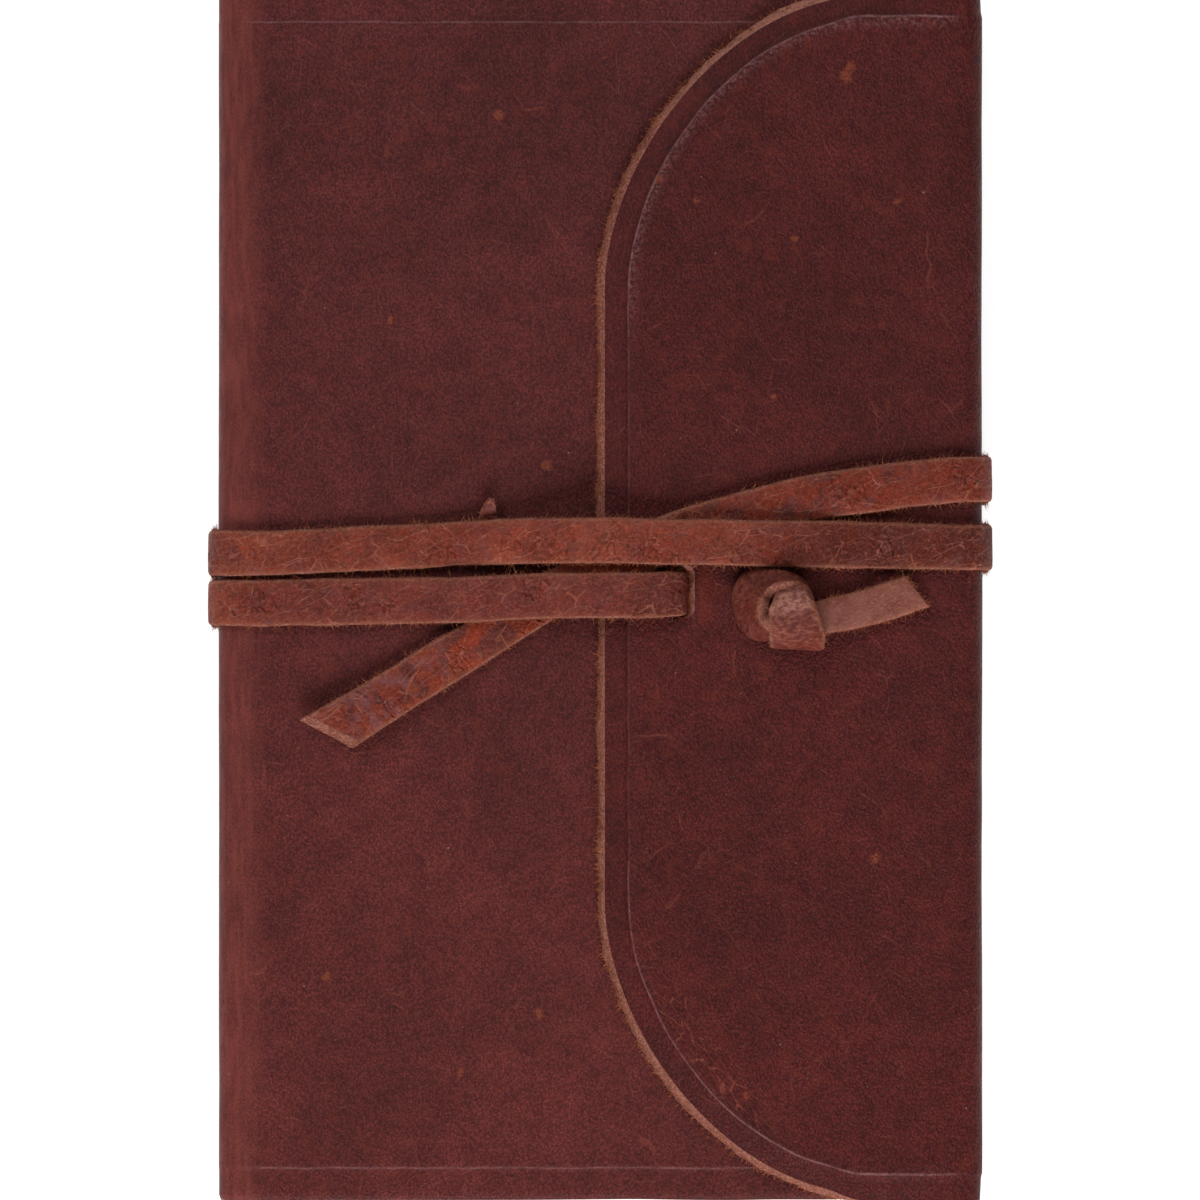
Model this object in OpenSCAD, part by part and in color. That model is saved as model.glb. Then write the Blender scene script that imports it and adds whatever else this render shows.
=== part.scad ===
// Soft leather journal cover. One hide wraps a notebook from its front, round the spine and the
// back to the fore-edge, and ends in a D-shaped flap that closes over the front. A flat leather tie,
// knotted on the flap, goes twice round the book and is tucked under its own passes.
// The book lies on its back cover with the spine on -X and its head on +Y. Millimetres.
// Origin: bottom centre of the whole, on the surface that the tie rests on.

/* [Cover] */
// Height of the hide along the spine
cover_h = 225; // [220:1:240]
// Width over the folded leather
cover_w = 142; // [140:1:150]
// Thickness of the hide
hide_t = 2; // [1.6:0.1:2.2]
// Bare leather left around the boards
margin = 6; // [4:0.5:7]
// Outer radius of the folds
fold_r = 4; // [3.5:0.1:4.5]
// Thickness of the thin lining leather
lining_t = 0.8; // [0.6:0.1:1]
// Thickness of the stiffening board in the front and the back
board_t = 1.5; // [1:0.1:2]

/* [Flap] */
// X of the flap's straight edge, near the middle of the front
flap_edge_x = -0.6; // [-4:0.2:2]
// Width of the flap's rounded corners
flap_corner_w = 48; // [40:1:52]
// Height of the flap's rounded corners
flap_corner_h = 55; // [45:1:60]
// Thickness of the flap's thin stiffening board
flap_board_t = 1; // [0.8:0.1:1.2]

/* [Notebook] */
// Height of the notebook's covers
notebook_h = 210; // [200:1:211]
// Thickness of each notebook cover
notebook_cover_t = 1.6; // [1:0.1:2]
// Thickness of half of the pages
half_block_t = 6.5; // [4:0.5:9]

/* [Tie] */
// Width of the tie
tie_w = 8.4; // [7:0.2:8.6]
// Thickness of the tie
tie_t = 1.8; // [1.5:0.1:1.8]

/* [Hidden] */
$fn = 96;

// Clearances: between layers, under the tie, and between the two halves of the pages
slip = 0.05;
tie_gap = 0.1;
half_gap = 0.1;

// Across the book
half_h = cover_h / 2;
side_x = cover_w / 2;
fold_x = side_x - fold_r;
panel_edge_x = fold_x + 0.5;
board_x = fold_x - 1;
inner_h = cover_h - 2 * margin;
notebook_x = fold_x - 2;
pages_x0 = 0.5 - notebook_x;
pages_x1 = notebook_x - 1.5;
pages_h = notebook_h - 4;

// Up through the book, each level named for the layer whose underside it is
back_z = tie_t + tie_gap;
back_board_z = back_z + hide_t;
back_lining_z = back_board_z + board_t;
back_cover_z = back_lining_z + lining_t + slip;
back_pocket_z = back_cover_z + notebook_cover_t + slip;
back_pages_z = back_pocket_z + lining_t + slip;
front_pages_z = back_pages_z + half_block_t + half_gap;
front_pocket_z = front_pages_z + half_block_t + slip;
front_cover_z = front_pocket_z + lining_t + slip;
front_lining_z = front_cover_z + notebook_cover_t + slip;
front_board_z = front_lining_z + lining_t;
front_z = front_board_z + board_t;
front_top = front_z + hide_t;
flap_lining_z = front_top + slip;
flap_board_z = flap_lining_z + lining_t;
flap_z = flap_board_z + flap_board_t;
flap_top = flap_z + hide_t;

// Centres of the four folds
low_fold_z = back_z + fold_r;
spine_fold_z = front_top - fold_r;
flap_fold_z = flap_top - fold_r;

// The flap's outline is two rounded corners of this exponent, and its raised middle is inset
corner_power = 1.75;
corner_steps = 14;
ridge_inset = 5.5;

// The slot that the tie comes up through, and the slit under the knot
slot_x = 16.6;
slot_y = 0.65;
slot_len = 9.9;
slot_w = 2;
slit_x = 34;
bridge_w = tie_w;

// Where the tie lies on the flap and on the front, at the middle of its thickness
on_flap = flap_top + tie_gap + tie_t / 2;
on_front = front_top + tie_gap + tie_t / 2;

// Y of the tie's two turns at the spine and at the fore-edge
spine_low_y = -1.5;
spine_high_y = 7.8;
fore_low_y = 8.8;
fore_high_y = 21.5;

// Routes of the tie over the front, from right to left: x, y and height of its middle
lower_route = [
    [slot_x + 0.9, 0, on_flap], [14, 0, on_flap + 0.5], [10, 0, on_flap + 2],
    [4, 0, on_flap + 2.1], [-9, -0.4, on_front + 2.8], [-26, -0.9, on_front + 2],
    [-33, -1, on_front + 0.5], [-39, -1.1, on_front], [-50, -1.3, on_front],
    [-fold_x, spine_low_y, on_front]
];
upper_route = [
    [fold_x, fore_low_y, on_flap], [52, 9.2, on_flap], [46, 9.3, on_flap + 0.4],
    [40, 9.5, on_flap + 2], [1, 9.8, on_flap + 2], [-10, 9.6, on_front + 2.8],
    [-24, 9.3, on_front + 0.7], [-32, 9, on_front], [-48, 8.6, on_front],
    [-fold_x, spine_high_y, on_front]
];
end_route = [
    [fold_x, fore_high_y, on_flap], [52, 19.9, on_flap], [38, 17.7, on_flap],
    [22, 13.5, on_flap], [12.5, 10.4, on_flap], [3, 6.1, on_flap + 0.1],
    [-9, 0.3, on_front + 0.2], [-13, -2.3, on_front], [-24, -9.4, on_front]
];
tip_route = [
    [-24, -9.4, on_front], [-30, -13.1, on_front + 0.1], [-36, -16.8, on_front + 0.3],
    [-42, -20.5, on_front + 0.8], [-48.8, -24.8, on_front + 1.6]
];
// Half of the slanted cut across the tie's free end, and of the square cut across other ends
tip_cut = [3.4, -2.9, 0];
square_cut = [0, -tie_w / 2, 0];

// Routes of the two turns across the back, from the spine to the fore-edge
on_floor = tie_t / 2;
back_low_route = [
    [-fold_x, spine_low_y, on_floor], [-40, -2, on_floor], [0, -0.5, on_floor],
    [40, 4.5, on_floor], [fold_x, fore_low_y, on_floor]
];
back_high_route = [
    [-fold_x, spine_high_y, on_floor], [-30, 10, on_floor], [30, 17, on_floor],
    [fold_x, fore_high_y, on_floor]
];

// The knot: a curled loop, a band over it and a short tail
knot_x = 30.4;
knot_y = -1;
knot_z = flap_top + tie_gap;
loop_r = 6.2;
loop_bore = 3.2;
loop_h = 5.6;
band_h = 7.4;
tail_w = 6.7;
tail_route = [
    [42.3, -3.9, on_flap + 0.4], [48, -2.7, on_flap + 0.2], [54, -0.9, on_flap + 0.3],
    [58.8, 0.7, on_flap + 0.6]
];
tail_cut = [1.7, -2.9, 0];

// A quarter of the flap's outline, from the middle of its straight edge to its top
function flap_corner(inset) = [
    for (k = [0:corner_steps])
        let (a = 90 * k / corner_steps)
        [
            flap_edge_x + flap_corner_w - (flap_corner_w - inset) * pow(cos(a), 2 / corner_power),
            half_h - flap_corner_h + (flap_corner_h - inset) * pow(sin(a), 2 / corner_power)
        ]
];

function mirrored(points) = [for (k = [len(points) - 1:-1:0]) [points[k].x, -points[k].y]];

function unit(v) = v / norm(v);

// Half of the tie's width at point k of a route, square to the route as seen from above
function half_side(route, k, width) =
    let (along = unit(route[min(k + 1, len(route) - 1)] - route[max(k - 1, 0)]))
    unit([-along.y, along.x, 0]) * width / 2;

module flap_outline(inset, end_x) {
    corner = flap_corner(inset);
    polygon(concat(
        mirrored(corner), corner, [[end_x, half_h - inset], [end_x, inset - half_h]]
    ));
}

module slab(x0, x1, height, z, thickness) {
    translate([x0, -height / 2, z]) cube([x1 - x0, height, thickness]);
}

// A quarter of a tube along Y about (x, z), in the quadrant that sx and sz give
module quarter_tube(x, z, r_in, r_out, length, sx, sz) {
    translate([x, 0, z]) rotate([90, 0, 0]) linear_extrude(length, center = true)
        intersection() {
            difference() {
                circle(r_out);
                circle(r_in);
            }
            translate([sx * r_out / 2, sz * r_out / 2]) square(r_out, center = true);
        }
}

module fold(x, z, sx, sz) {
    quarter_tube(x, z, fold_r - hide_t, fold_r, cover_h, sx, sz);
}

module tie_corner(x, z, y, sx, sz) {
    translate([0, y, 0])
        quarter_tube(x, z, fold_r + tie_gap, fold_r + tie_gap + tie_t, tie_w, sx, sz);
}

// A flat strap along a route. Its ends are cut along first_cut and last_cut, half of each cut given
module strap(route, width, first_cut, last_cut) {
    last = len(route) - 1;
    rise = [0, 0, tie_t / 2];
    rings = [
        for (k = [0:last])
            let (
                free = half_side(route, k, width),
                cut = k == 0 ? first_cut : k == last ? last_cut : free,
                side = cut * free < 0 ? -cut : cut
            )
            each [
                route[k] + side + rise, route[k] - side + rise,
                route[k] - side - rise, route[k] + side - rise
            ]
    ];
    walls = [
        for (k = [0:last - 1])
            for (c = [0:3])
                let (a = 4 * k + c, b = 4 * k + (c + 1) % 4)
                each [[a, b, b + 4], [a, b + 4, a + 4]]
    ];
    top = 4 * last;
    polyhedron(rings, concat(
        walls, [[2, 1, 0], [3, 2, 0], [top, top + 1, top + 2], [top, top + 2, top + 3]]
    ));
}

module outer_back() {
    color("saddlebrown") slab(-fold_x, fold_x, cover_h, back_z, hide_t);
}

module outer_spine() {
    color("sienna") slab(-side_x, hide_t - side_x, cover_h, low_fold_z, spine_fold_z - low_fold_z);
}

module outer_front() {
    color("saddlebrown") slab(-fold_x, panel_edge_x, cover_h, front_z, hide_t);
}

module outer_fore_edge() {
    color("sienna") slab(side_x - hide_t, side_x, cover_h, low_fold_z, flap_fold_z - low_fold_z);
}

// The flap's leather lies low in its bare margin and steps up over its board
module outer_flap() {
    color("brown") difference() {
        union() {
            translate([0, 0, flap_lining_z]) linear_extrude(hide_t) flap_outline(0, fold_x);
            translate([0, 0, flap_lining_z]) linear_extrude(flap_top - flap_lining_z)
                flap_outline(ridge_inset, fold_x);
        }
        translate([0, 0, flap_lining_z - 1]) linear_extrude(flap_z - flap_lining_z + 1)
            flap_outline(margin, fold_x + 1);
        flap_cuts();
    }
}

// The slot and the slit that the tie goes through
module flap_cuts() {
    through = flap_top - flap_lining_z + 2;
    translate([slot_x, slot_y, flap_lining_z - 1]) linear_extrude(through)
        square([slot_w, slot_len], center = true);
    translate([slit_x, 0, flap_lining_z - 1]) linear_extrude(through)
        square([slot_w, slot_len], center = true);
}

// The window in the flap's board and lining where the tie crosses between its two cuts
module bridge_window() {
    translate([slot_x - 1.2, -tie_w / 2 - 0.4, flap_lining_z - 1])
        cube([slit_x - slot_x + 2.4, tie_w + 1.8, flap_z - flap_lining_z + 2]);
}

module fold_back_spine() {
    color("chocolate") fold(-fold_x, low_fold_z, -1, -1);
}

module fold_spine_front() {
    color("chocolate") fold(-fold_x, spine_fold_z, -1, 1);
}

module fold_back_fore() {
    color("chocolate") fold(fold_x, low_fold_z, 1, -1);
}

module fold_fore_flap() {
    color("chocolate") fold(fold_x, flap_fold_z, 1, 1);
}

module back_board() {
    color("tan") slab(-board_x, board_x, inner_h, back_board_z, board_t);
}

module front_board() {
    color("tan") slab(-board_x, board_x, inner_h, front_board_z, board_t);
}

module flap_board() {
    color("tan") difference() {
        translate([0, 0, flap_board_z]) linear_extrude(flap_board_t)
            flap_outline(margin + slip, board_x);
        bridge_window();
    }
}

module lining_back() {
    color("peru") slab(-board_x, board_x, inner_h, back_lining_z, lining_t);
}

module lining_spine() {
    color("peru") slab(
        hide_t - side_x, hide_t + lining_t - side_x, inner_h,
        back_pocket_z, front_cover_z - back_pocket_z
    );
}

module lining_front() {
    color("peru") slab(-board_x, board_x, inner_h, front_lining_z, lining_t);
}

module lining_fore_edge() {
    color("peru") slab(
        side_x - hide_t - lining_t, side_x - hide_t, inner_h,
        back_pocket_z, front_z - back_pocket_z
    );
}

module lining_flap() {
    color("peru") difference() {
        translate([0, 0, flap_lining_z]) linear_extrude(lining_t)
            flap_outline(margin + slip, board_x);
        bridge_window();
    }
}

// A leather sleeve over the outer part of a notebook cover, joined to the lining at three edges
module sleeve_pocket(plate_z, rim_z, rim_h) {
    mouth_x = 6;
    rim = 0.8;
    height = notebook_h + 2.4;
    slab(mouth_x, notebook_x + rim + 0.4, height, plate_z, lining_t);
    slab(notebook_x + 0.4, notebook_x + rim + 0.4, height, rim_z, rim_h);
    for (side = [-1, 1])
        translate([mouth_x, side * (height - rim) / 2 - rim / 2, rim_z])
            cube([notebook_x + rim + 0.4 - mouth_x, rim, rim_h]);
}

module back_pocket() {
    low = back_lining_z + lining_t;
    color("peru") sleeve_pocket(back_pocket_z, low, back_pocket_z + lining_t - low);
}

module front_pocket() {
    color("peru") sleeve_pocket(front_pocket_z, front_pocket_z, front_lining_z - front_pocket_z);
}

module notebook_back_cover() {
    color("dimgray") slab(-notebook_x, notebook_x, notebook_h, back_cover_z, notebook_cover_t);
}

module notebook_front_cover() {
    color("dimgray") slab(-notebook_x, notebook_x, notebook_h, front_cover_z, notebook_cover_t);
}

module notebook_spine() {
    color("dimgray") slab(
        -notebook_x - 2.2, -notebook_x - 1, notebook_h,
        back_pages_z, front_pocket_z - back_pages_z
    );
}

// One folded and sewn gathering of pages, counted from the back
module signature(number) {
    thickness = half_block_t / 4;
    first_z = number <= 4 ? back_pages_z : front_pages_z;
    color("ivory") slab(
        pages_x0, pages_x1, pages_h, first_z + ((number - 1) % 4) * thickness, thickness
    );
}

// The tie under the flap, from the slit under the knot to the slot
module tie_bridge() {
    low_x = slot_x - tie_t / 2;
    high_x = slit_x + tie_t / 2;
    color("chocolate") {
        slab(low_x, high_x, bridge_w, flap_lining_z, tie_t - slip);
        slab(low_x, low_x + tie_t, bridge_w, flap_lining_z, knot_z - flap_lining_z);
        slab(high_x - tie_t, high_x, bridge_w, flap_lining_z, knot_z - flap_lining_z);
    }
}

module tie_lower_pass() {
    color("chocolate") strap(lower_route, tie_w, square_cut, square_cut);
}

module tie_upper_pass() {
    color("chocolate") strap(upper_route, tie_w, square_cut, square_cut);
}

module tie_end_run() {
    last = len(end_route) - 1;
    color("chocolate")
        strap(end_route, tie_w, square_cut, half_side(end_route, last, tie_w));
}

module tie_end_tip() {
    last = len(end_route) - 1;
    color("chocolate")
        strap(tip_route, tie_w, half_side(end_route, last, tie_w), tip_cut);
}

// A pointed scrap of the tie's flesh side, tucked under the upper pass
module tie_sliver() {
    color("chocolate") translate([0, 0, front_top + slip]) linear_extrude(0.6)
        polygon([[-22.6, 10], [-18.4, 10], [-18.7, 13.9], [-19.9, 18.2], [-22.2, 13.9]]);
}

module tie_knot_loop() {
    color("chocolate") translate([knot_x, knot_y, knot_z]) linear_extrude(loop_h)
        difference() {
            circle(loop_r);
            circle(loop_bore);
            polygon([[0, 0], [9, 3.5], [9, -6], [4, -9]]);
        }
}

module tie_knot_band() {
    color("chocolate") difference() {
        translate([0, 0, knot_z]) linear_extrude(band_h)
            polygon([[31, -1.9], [36, 2.2], [40.2, -1.5], [41.8, -9.7], [31.7, -10]]);
        translate([knot_x, knot_y, knot_z - 1]) cylinder(h = loop_h + 1 + slip, r = loop_r + slip);
    }
}

module tie_knot_tail() {
    color("chocolate") strap(tail_route, tail_w, square_cut * tail_w / tie_w, tail_cut);
}

module tie_spine_runs() {
    for (y = [spine_low_y, spine_high_y])
        color("chocolate")
            translate([-side_x - tie_gap - tie_t, y - tie_w / 2, low_fold_z])
                cube([tie_t, tie_w, spine_fold_z - low_fold_z]);
}

module tie_back_runs() {
    color("chocolate") {
        strap(back_low_route, tie_w, square_cut, square_cut);
        strap(back_high_route, tie_w, square_cut, square_cut);
    }
}

module tie_fore_runs() {
    for (y = [fore_low_y, fore_high_y])
        color("chocolate")
            translate([side_x + tie_gap, y - tie_w / 2, low_fold_z])
                cube([tie_t, tie_w, flap_fold_z - low_fold_z]);
}

module tie_corner_back_spine() {
    for (y = [spine_low_y, spine_high_y])
        color("chocolate") tie_corner(-fold_x, low_fold_z, y, -1, -1);
}

module tie_corner_spine_front() {
    for (y = [spine_low_y, spine_high_y])
        color("chocolate") tie_corner(-fold_x, spine_fold_z, y, -1, 1);
}

module tie_corner_back_fore() {
    for (y = [fore_low_y, fore_high_y])
        color("chocolate") tie_corner(fold_x, low_fold_z, y, 1, -1);
}

module tie_corner_fore_flap() {
    for (y = [fore_low_y, fore_high_y])
        color("chocolate") tie_corner(fold_x, flap_fold_z, y, 1, 1);
}

outer_back();
outer_spine();
outer_front();
outer_fore_edge();
outer_flap();
fold_back_spine();
fold_spine_front();
fold_back_fore();
fold_fore_flap();
back_board();
front_board();
flap_board();
lining_back();
lining_spine();
lining_front();
lining_fore_edge();
lining_flap();
back_pocket();
front_pocket();
notebook_back_cover();
notebook_front_cover();
notebook_spine();
for (number = [1:8])
    signature(number);
tie_bridge();
tie_lower_pass();
tie_upper_pass();
tie_end_run();
tie_end_tip();
tie_sliver();
tie_knot_loop();
tie_knot_band();
tie_knot_tail();
tie_spine_runs();
tie_back_runs();
tie_fore_runs();
tie_corner_back_spine();
tie_corner_spine_front();
tie_corner_back_fore();
tie_corner_fore_flap();
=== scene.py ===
"""The looks of the leather notebook cover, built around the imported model. Metres, +Z out of the front."""
import math

import bpy
import numpy as np
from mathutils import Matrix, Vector, geometry


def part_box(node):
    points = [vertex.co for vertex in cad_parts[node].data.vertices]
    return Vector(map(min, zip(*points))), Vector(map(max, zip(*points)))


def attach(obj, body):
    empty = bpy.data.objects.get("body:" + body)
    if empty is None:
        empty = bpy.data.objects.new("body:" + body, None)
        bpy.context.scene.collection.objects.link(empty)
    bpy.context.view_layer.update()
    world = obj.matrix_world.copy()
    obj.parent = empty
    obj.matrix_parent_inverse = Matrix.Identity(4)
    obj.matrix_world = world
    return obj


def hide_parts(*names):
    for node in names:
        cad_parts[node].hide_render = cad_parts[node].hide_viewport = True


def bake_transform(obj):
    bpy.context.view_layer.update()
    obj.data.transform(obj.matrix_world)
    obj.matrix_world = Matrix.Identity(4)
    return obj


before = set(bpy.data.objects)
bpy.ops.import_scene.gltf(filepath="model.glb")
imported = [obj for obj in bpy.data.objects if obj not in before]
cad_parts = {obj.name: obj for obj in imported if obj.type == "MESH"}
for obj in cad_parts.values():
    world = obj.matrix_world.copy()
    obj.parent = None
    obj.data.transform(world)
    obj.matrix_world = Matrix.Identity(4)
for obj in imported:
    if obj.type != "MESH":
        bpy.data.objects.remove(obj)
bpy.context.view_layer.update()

MM = 0.001
rng = np.random.default_rng(7)

# ---------------------------------------------------------------- places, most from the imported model
back_lo, back_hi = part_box("outer_back")
front_lo, front_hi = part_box("outer_front")
flap_lo, flap_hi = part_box("outer_flap")
turns_lo, turns_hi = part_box("tie_spine_runs")

HALF_H = front_hi.y
HIDE_T = front_hi.z - front_lo.z
SIDE_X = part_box("outer_fore_edge")[1].x
FOLD_X = back_hi.x
FOLD_R = SIDE_X - FOLD_X
FREE_X = front_hi.x
MARGIN = HALF_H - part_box("front_board")[1].y
FRONT_Z = front_hi.z
BACK_Z = back_lo.z
FLAP_Z = flap_hi.z
FLAP_LOW = flap_lo.z + HIDE_T - FLAP_Z
FLAP_X = flap_lo.x

# The flap's D: its free corners, how far in its ridge lies, the x from which its sides are straight,
# and the s over which its cut edge gives way to the sides of the book
CORNER_W, CORNER_H, CORNER_POWER = 48 * MM, 55 * MM, 1.75
RIDGE = 5.9 * MM
STRAIGHT_X = 60 * MM
CUT_FADES_AT, CUT_ENDS_AT = 42 * MM, 50 * MM

# The slot and the slit that the tie comes up through
SLOT_X, SLOT_Y, SLOT_LEN, SLIT_W = 16.6 * MM, 0.65 * MM, 9.9 * MM, 2.0 * MM
SLIT_X = 34 * MM

# The tie: its turns' heights on the spine and the fore-edge, its cut across, and where the middle
# of its thickness lies over the hide, over the front and over the flap
SPINE_Y = (-1.5 * MM, 7.8 * MM)
FORE_Y = (8.8 * MM, 21.5 * MM)
TURNS_APART = 9.3 * MM
TIE_W = turns_hi.y - turns_lo.y - TURNS_APART
TIE_T = turns_hi.x - turns_lo.x
TIE_GAP = back_lo.z - TIE_T
TIE_H = TIE_GAP + TIE_T / 2
ON_FRONT = FRONT_Z + TIE_GAP + TIE_T / 2
ON_FLAP = FLAP_Z + TIE_GAP + TIE_T / 2


# ---------------------------------------------------------------- numbers and noise
def smooth(a, b, x):
    """0 before a, 1 after b, and an even S between them."""
    t = np.clip((x - a) / (b - a), 0, 1)
    return t * t * (3 - 2 * t)


def bell(x, centre, width):
    return np.exp(-(((x - centre) / width) ** 2))


LATTICE = np.random.default_rng(3).uniform(-1, 1, (256, 256))


def wave(x, y, size, shift):
    """Smooth repeatable noise from -1 to 1, with bumps about as wide as size."""
    u, v = np.asarray(x) / size + 17.3 * shift, np.asarray(y) / size + 5.1 * shift
    i, j = np.floor(u).astype(int), np.floor(v).astype(int)
    f, g = smooth(0, 1, u - i), smooth(0, 1, v - j)
    at = lambda a, b: LATTICE[(i + a) % 256, (j + b) % 256]
    low = at(0, 0) * (1 - f) + at(1, 0) * f
    high = at(0, 1) * (1 - f) + at(1, 1) * f
    return low * (1 - g) + high * g


def waves(x, y, size, shift=0):
    """Three sizes of wave on top of each other."""
    total = 0
    for k in range(3):
        total = total + wave(x, y, size / 2**k, shift + 3 * k) / 2**k
    return total / 1.6


# ---------------------------------------------------------------- meshes
def finish_mesh(name, points, faces, materials, face_materials=None, rest=None, edge=None,
                sharp_angle=50):
    """A smooth-shaded mesh object with its sharp edges kept and its surface coordinates stored.

    edge is stored for the materials: on the hide, millimetres in from its edge, and on a strap,
    1 at its edges and 0 inside them.
    """
    mesh = bpy.data.meshes.new(name)
    mesh.from_pydata(np.asarray(points).tolist(), [], [list(map(int, f)) for f in faces])
    for material in materials:
        mesh.materials.append(material)
    if face_materials is not None:
        mesh.polygons.foreach_set("material_index", np.asarray(face_materials, np.int32))
    rest = points if rest is None else rest
    layer = mesh.attributes.new("rest", "FLOAT_VECTOR", "POINT")
    layer.data.foreach_set("vector", np.asarray(rest, np.float32).ravel())
    layer = mesh.attributes.new("edge", "FLOAT", "POINT")
    values = np.zeros(len(points)) if edge is None else edge
    layer.data.foreach_set("value", np.asarray(values, np.float32))
    mesh.polygons.foreach_set("use_smooth", np.ones(len(mesh.polygons), bool))
    mesh.set_sharp_from_angle(angle=math.radians(sharp_angle))
    mesh.validate()
    mesh.update()
    obj = bpy.data.objects.new(name, mesh)
    bpy.context.scene.collection.objects.link(obj)
    return obj


def grid(s_values, y_values):
    """Flat points and quads over two lists of coordinates."""
    s, y = np.meshgrid(s_values, y_values, indexing="ij")
    rows, cols = s.shape
    index = np.arange(rows * cols).reshape(rows, cols)
    quads = np.stack(
        [index[:-1, :-1], index[1:, :-1], index[1:, 1:], index[:-1, 1:]], axis=-1
    ).reshape(-1, 4)
    return np.stack([s.ravel(), y.ravel()], 1), quads


def triangulated(loops, lines, inner, inside):
    """Triangles over closed loops, open lines and loose points, kept where inside(s, y) is true."""
    points, edges = [], []
    for path in loops + lines:
        first, count = len(points), len(path)
        points += [tuple(p) for p in path]
        edges += [(first + k, first + k + 1) for k in range(count - 1)]
        if any(path is loop for loop in loops):
            edges.append((first + count - 1, first))
    points += [tuple(p) for p in inner]
    scaled = [Vector((p[0] / MM, p[1] / MM)) for p in points]
    made = geometry.delaunay_2d_cdt(scaled, edges, [], 0, 1e-4)
    flat = np.array([(p.x * MM, p.y * MM) for p in made[0]])
    faces = np.array([f for f in made[2] if len(f) == 3])
    centre = flat[faces].mean(1)
    faces = faces[inside(centre[:, 0], centre[:, 1])]
    a, b, c = (flat[faces[:, k]] for k in range(3))
    turn = (b[:, 0] - a[:, 0]) * (c[:, 1] - a[:, 1]) - (b[:, 1] - a[:, 1]) * (c[:, 0] - a[:, 0])
    faces[turn < 0] = faces[turn < 0][:, ::-1]
    used = np.unique(faces)
    renumber = np.zeros(len(flat), int)
    renumber[used] = np.arange(len(used))
    return flat[used], renumber[faces]


def rim_of(faces):
    """The directed edges round the outside and the holes of some counter-clockwise faces."""
    found = {}
    for face in faces.tolist():
        for a, b in zip(face, face[1:] + face[:1]):
            found[a, b] = True
    return [(a, b) for a, b in found if (b, a) not in found]


def spread(depth):
    """How much of its width a cut edge has spread by a share of its depth."""
    return 1 - (1 - depth) ** 2.2


def shell(name, flat, faces, place, thickness, materials, lift=None, slope=None, edge=None,
          rim_steps=4, ragged=0.0, fuzz=0):
    """A sheet with a thickness over flat counter-clockwise faces, seen from its grain side.

    place(s, y, h) gives the points at height h over the sheet's face. slope(s, y) is how far the
    cut edge runs outwards from grain to flesh. materials are for the grain, the edge, the flesh
    and, with fuzz, the loose fibres at a sloping edge.
    """
    points, rest, worn = [], [], []

    def add(across, along, height, wear):
        points.append(place(across, along, height))
        rest.append(np.stack([across, along, height], 1))
        worn.append(wear)

    s, y = flat[:, 0], flat[:, 1]
    zero = np.zeros(len(flat))
    top = zero if lift is None else lift(s, y)
    rim = rim_of(faces)
    outward = np.zeros_like(flat)
    for a, b in rim:
        along = flat[b] - flat[a]
        side = np.array([along[1], -along[0]]) / max(np.hypot(*along), 1e-9)
        outward[a] += side
        outward[b] += side
    length = np.hypot(outward[:, 0], outward[:, 1])
    outward[length > 0] /= length[length > 0, None]
    ring = np.array(sorted({a for a, _ in rim}))
    position = {int(v): k for k, v in enumerate(ring)}
    run = np.zeros(len(ring)) if slope is None else slope(s[ring], y[ring])
    count = len(flat)
    add(s, y, top, zero if edge is None else edge(s, y))
    for k in range(1, rim_steps + 1):
        depth = k / rim_steps
        rough = ragged * wave(s[ring] * 3, y[ring] * 3 + depth * MM, 0.9 * MM, k)
        reach = run * spread(depth) + rough * (run > 0)
        shifted = flat[ring] + outward[ring] * reach[:, None]
        add(shifted[:, 0], shifted[:, 1], top[ring] - thickness * depth, np.zeros(len(ring)))
    inner = np.setdiff1d(np.arange(count), ring)
    add(s[inner], y[inner], top[inner] - thickness, np.zeros(len(inner)))
    last_ring = count + (rim_steps - 1) * len(ring)
    under = np.zeros(count, int)
    under[ring] = last_ring + np.arange(len(ring))
    under[inner] = count + rim_steps * len(ring) + np.arange(len(inner))
    made = faces.tolist()
    marks = [0] * len(made)
    for k in range(rim_steps):
        for a, b in rim:
            i, j = position[a], position[b]
            low = count + k * len(ring)
            high = low - len(ring)
            upper = (a, b) if k == 0 else (high + i, high + j)
            made.append([upper[1], upper[0], low + i, low + j])
            marks.append(1)
    made += under[faces][:, ::-1].tolist()
    marks += [2] * len(faces)
    if fuzz:
        open_edge = np.flatnonzero(run > 0.5 * MM)
        number = int(len(open_edge) * 1.1 * fuzz / 10)
        spots = rng.choice(open_edge, number)
        depth = rng.uniform(0.25, 1, number)
        base = flat[ring[spots]] + outward[ring[spots]] * (run[spots] * spread(depth))[:, None]
        base += rng.normal(0, 0.5, (number, 2)) * MM * outward[ring[spots]][:, ::-1] * [1, -1]
        tip = base + (outward[ring[spots]] + rng.normal(0, 0.5, (number, 2))) * MM
        height = top[ring[spots]] - thickness * depth
        roots = place(base[:, 0], base[:, 1], height)
        heads = place(tip[:, 0], tip[:, 1], height - 0.1 * MM) - roots
        hair_points, hair_faces = hairs(roots, heads)
        first = sum(len(block) for block in points)
        made += [[first + i for i in corner] for corner in hair_faces]
        marks += [3] * len(hair_faces)
        points.append(hair_points)
        rest.append(hair_points)
        worn.append(np.ones(len(hair_points)))
    return finish_mesh(name, np.vstack(points), made, materials, marks, np.vstack(rest),
                       np.concatenate(worn))


# ---------------------------------------------------------------- the hide's outer face
LOW_FOLD_Z = BACK_Z + FOLD_R
SPINE_FOLD_Z = FRONT_Z - FOLD_R
FLAP_FOLD_Z = FLAP_Z - FOLD_R
QUARTER = FOLD_R * math.pi / 2

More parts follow.
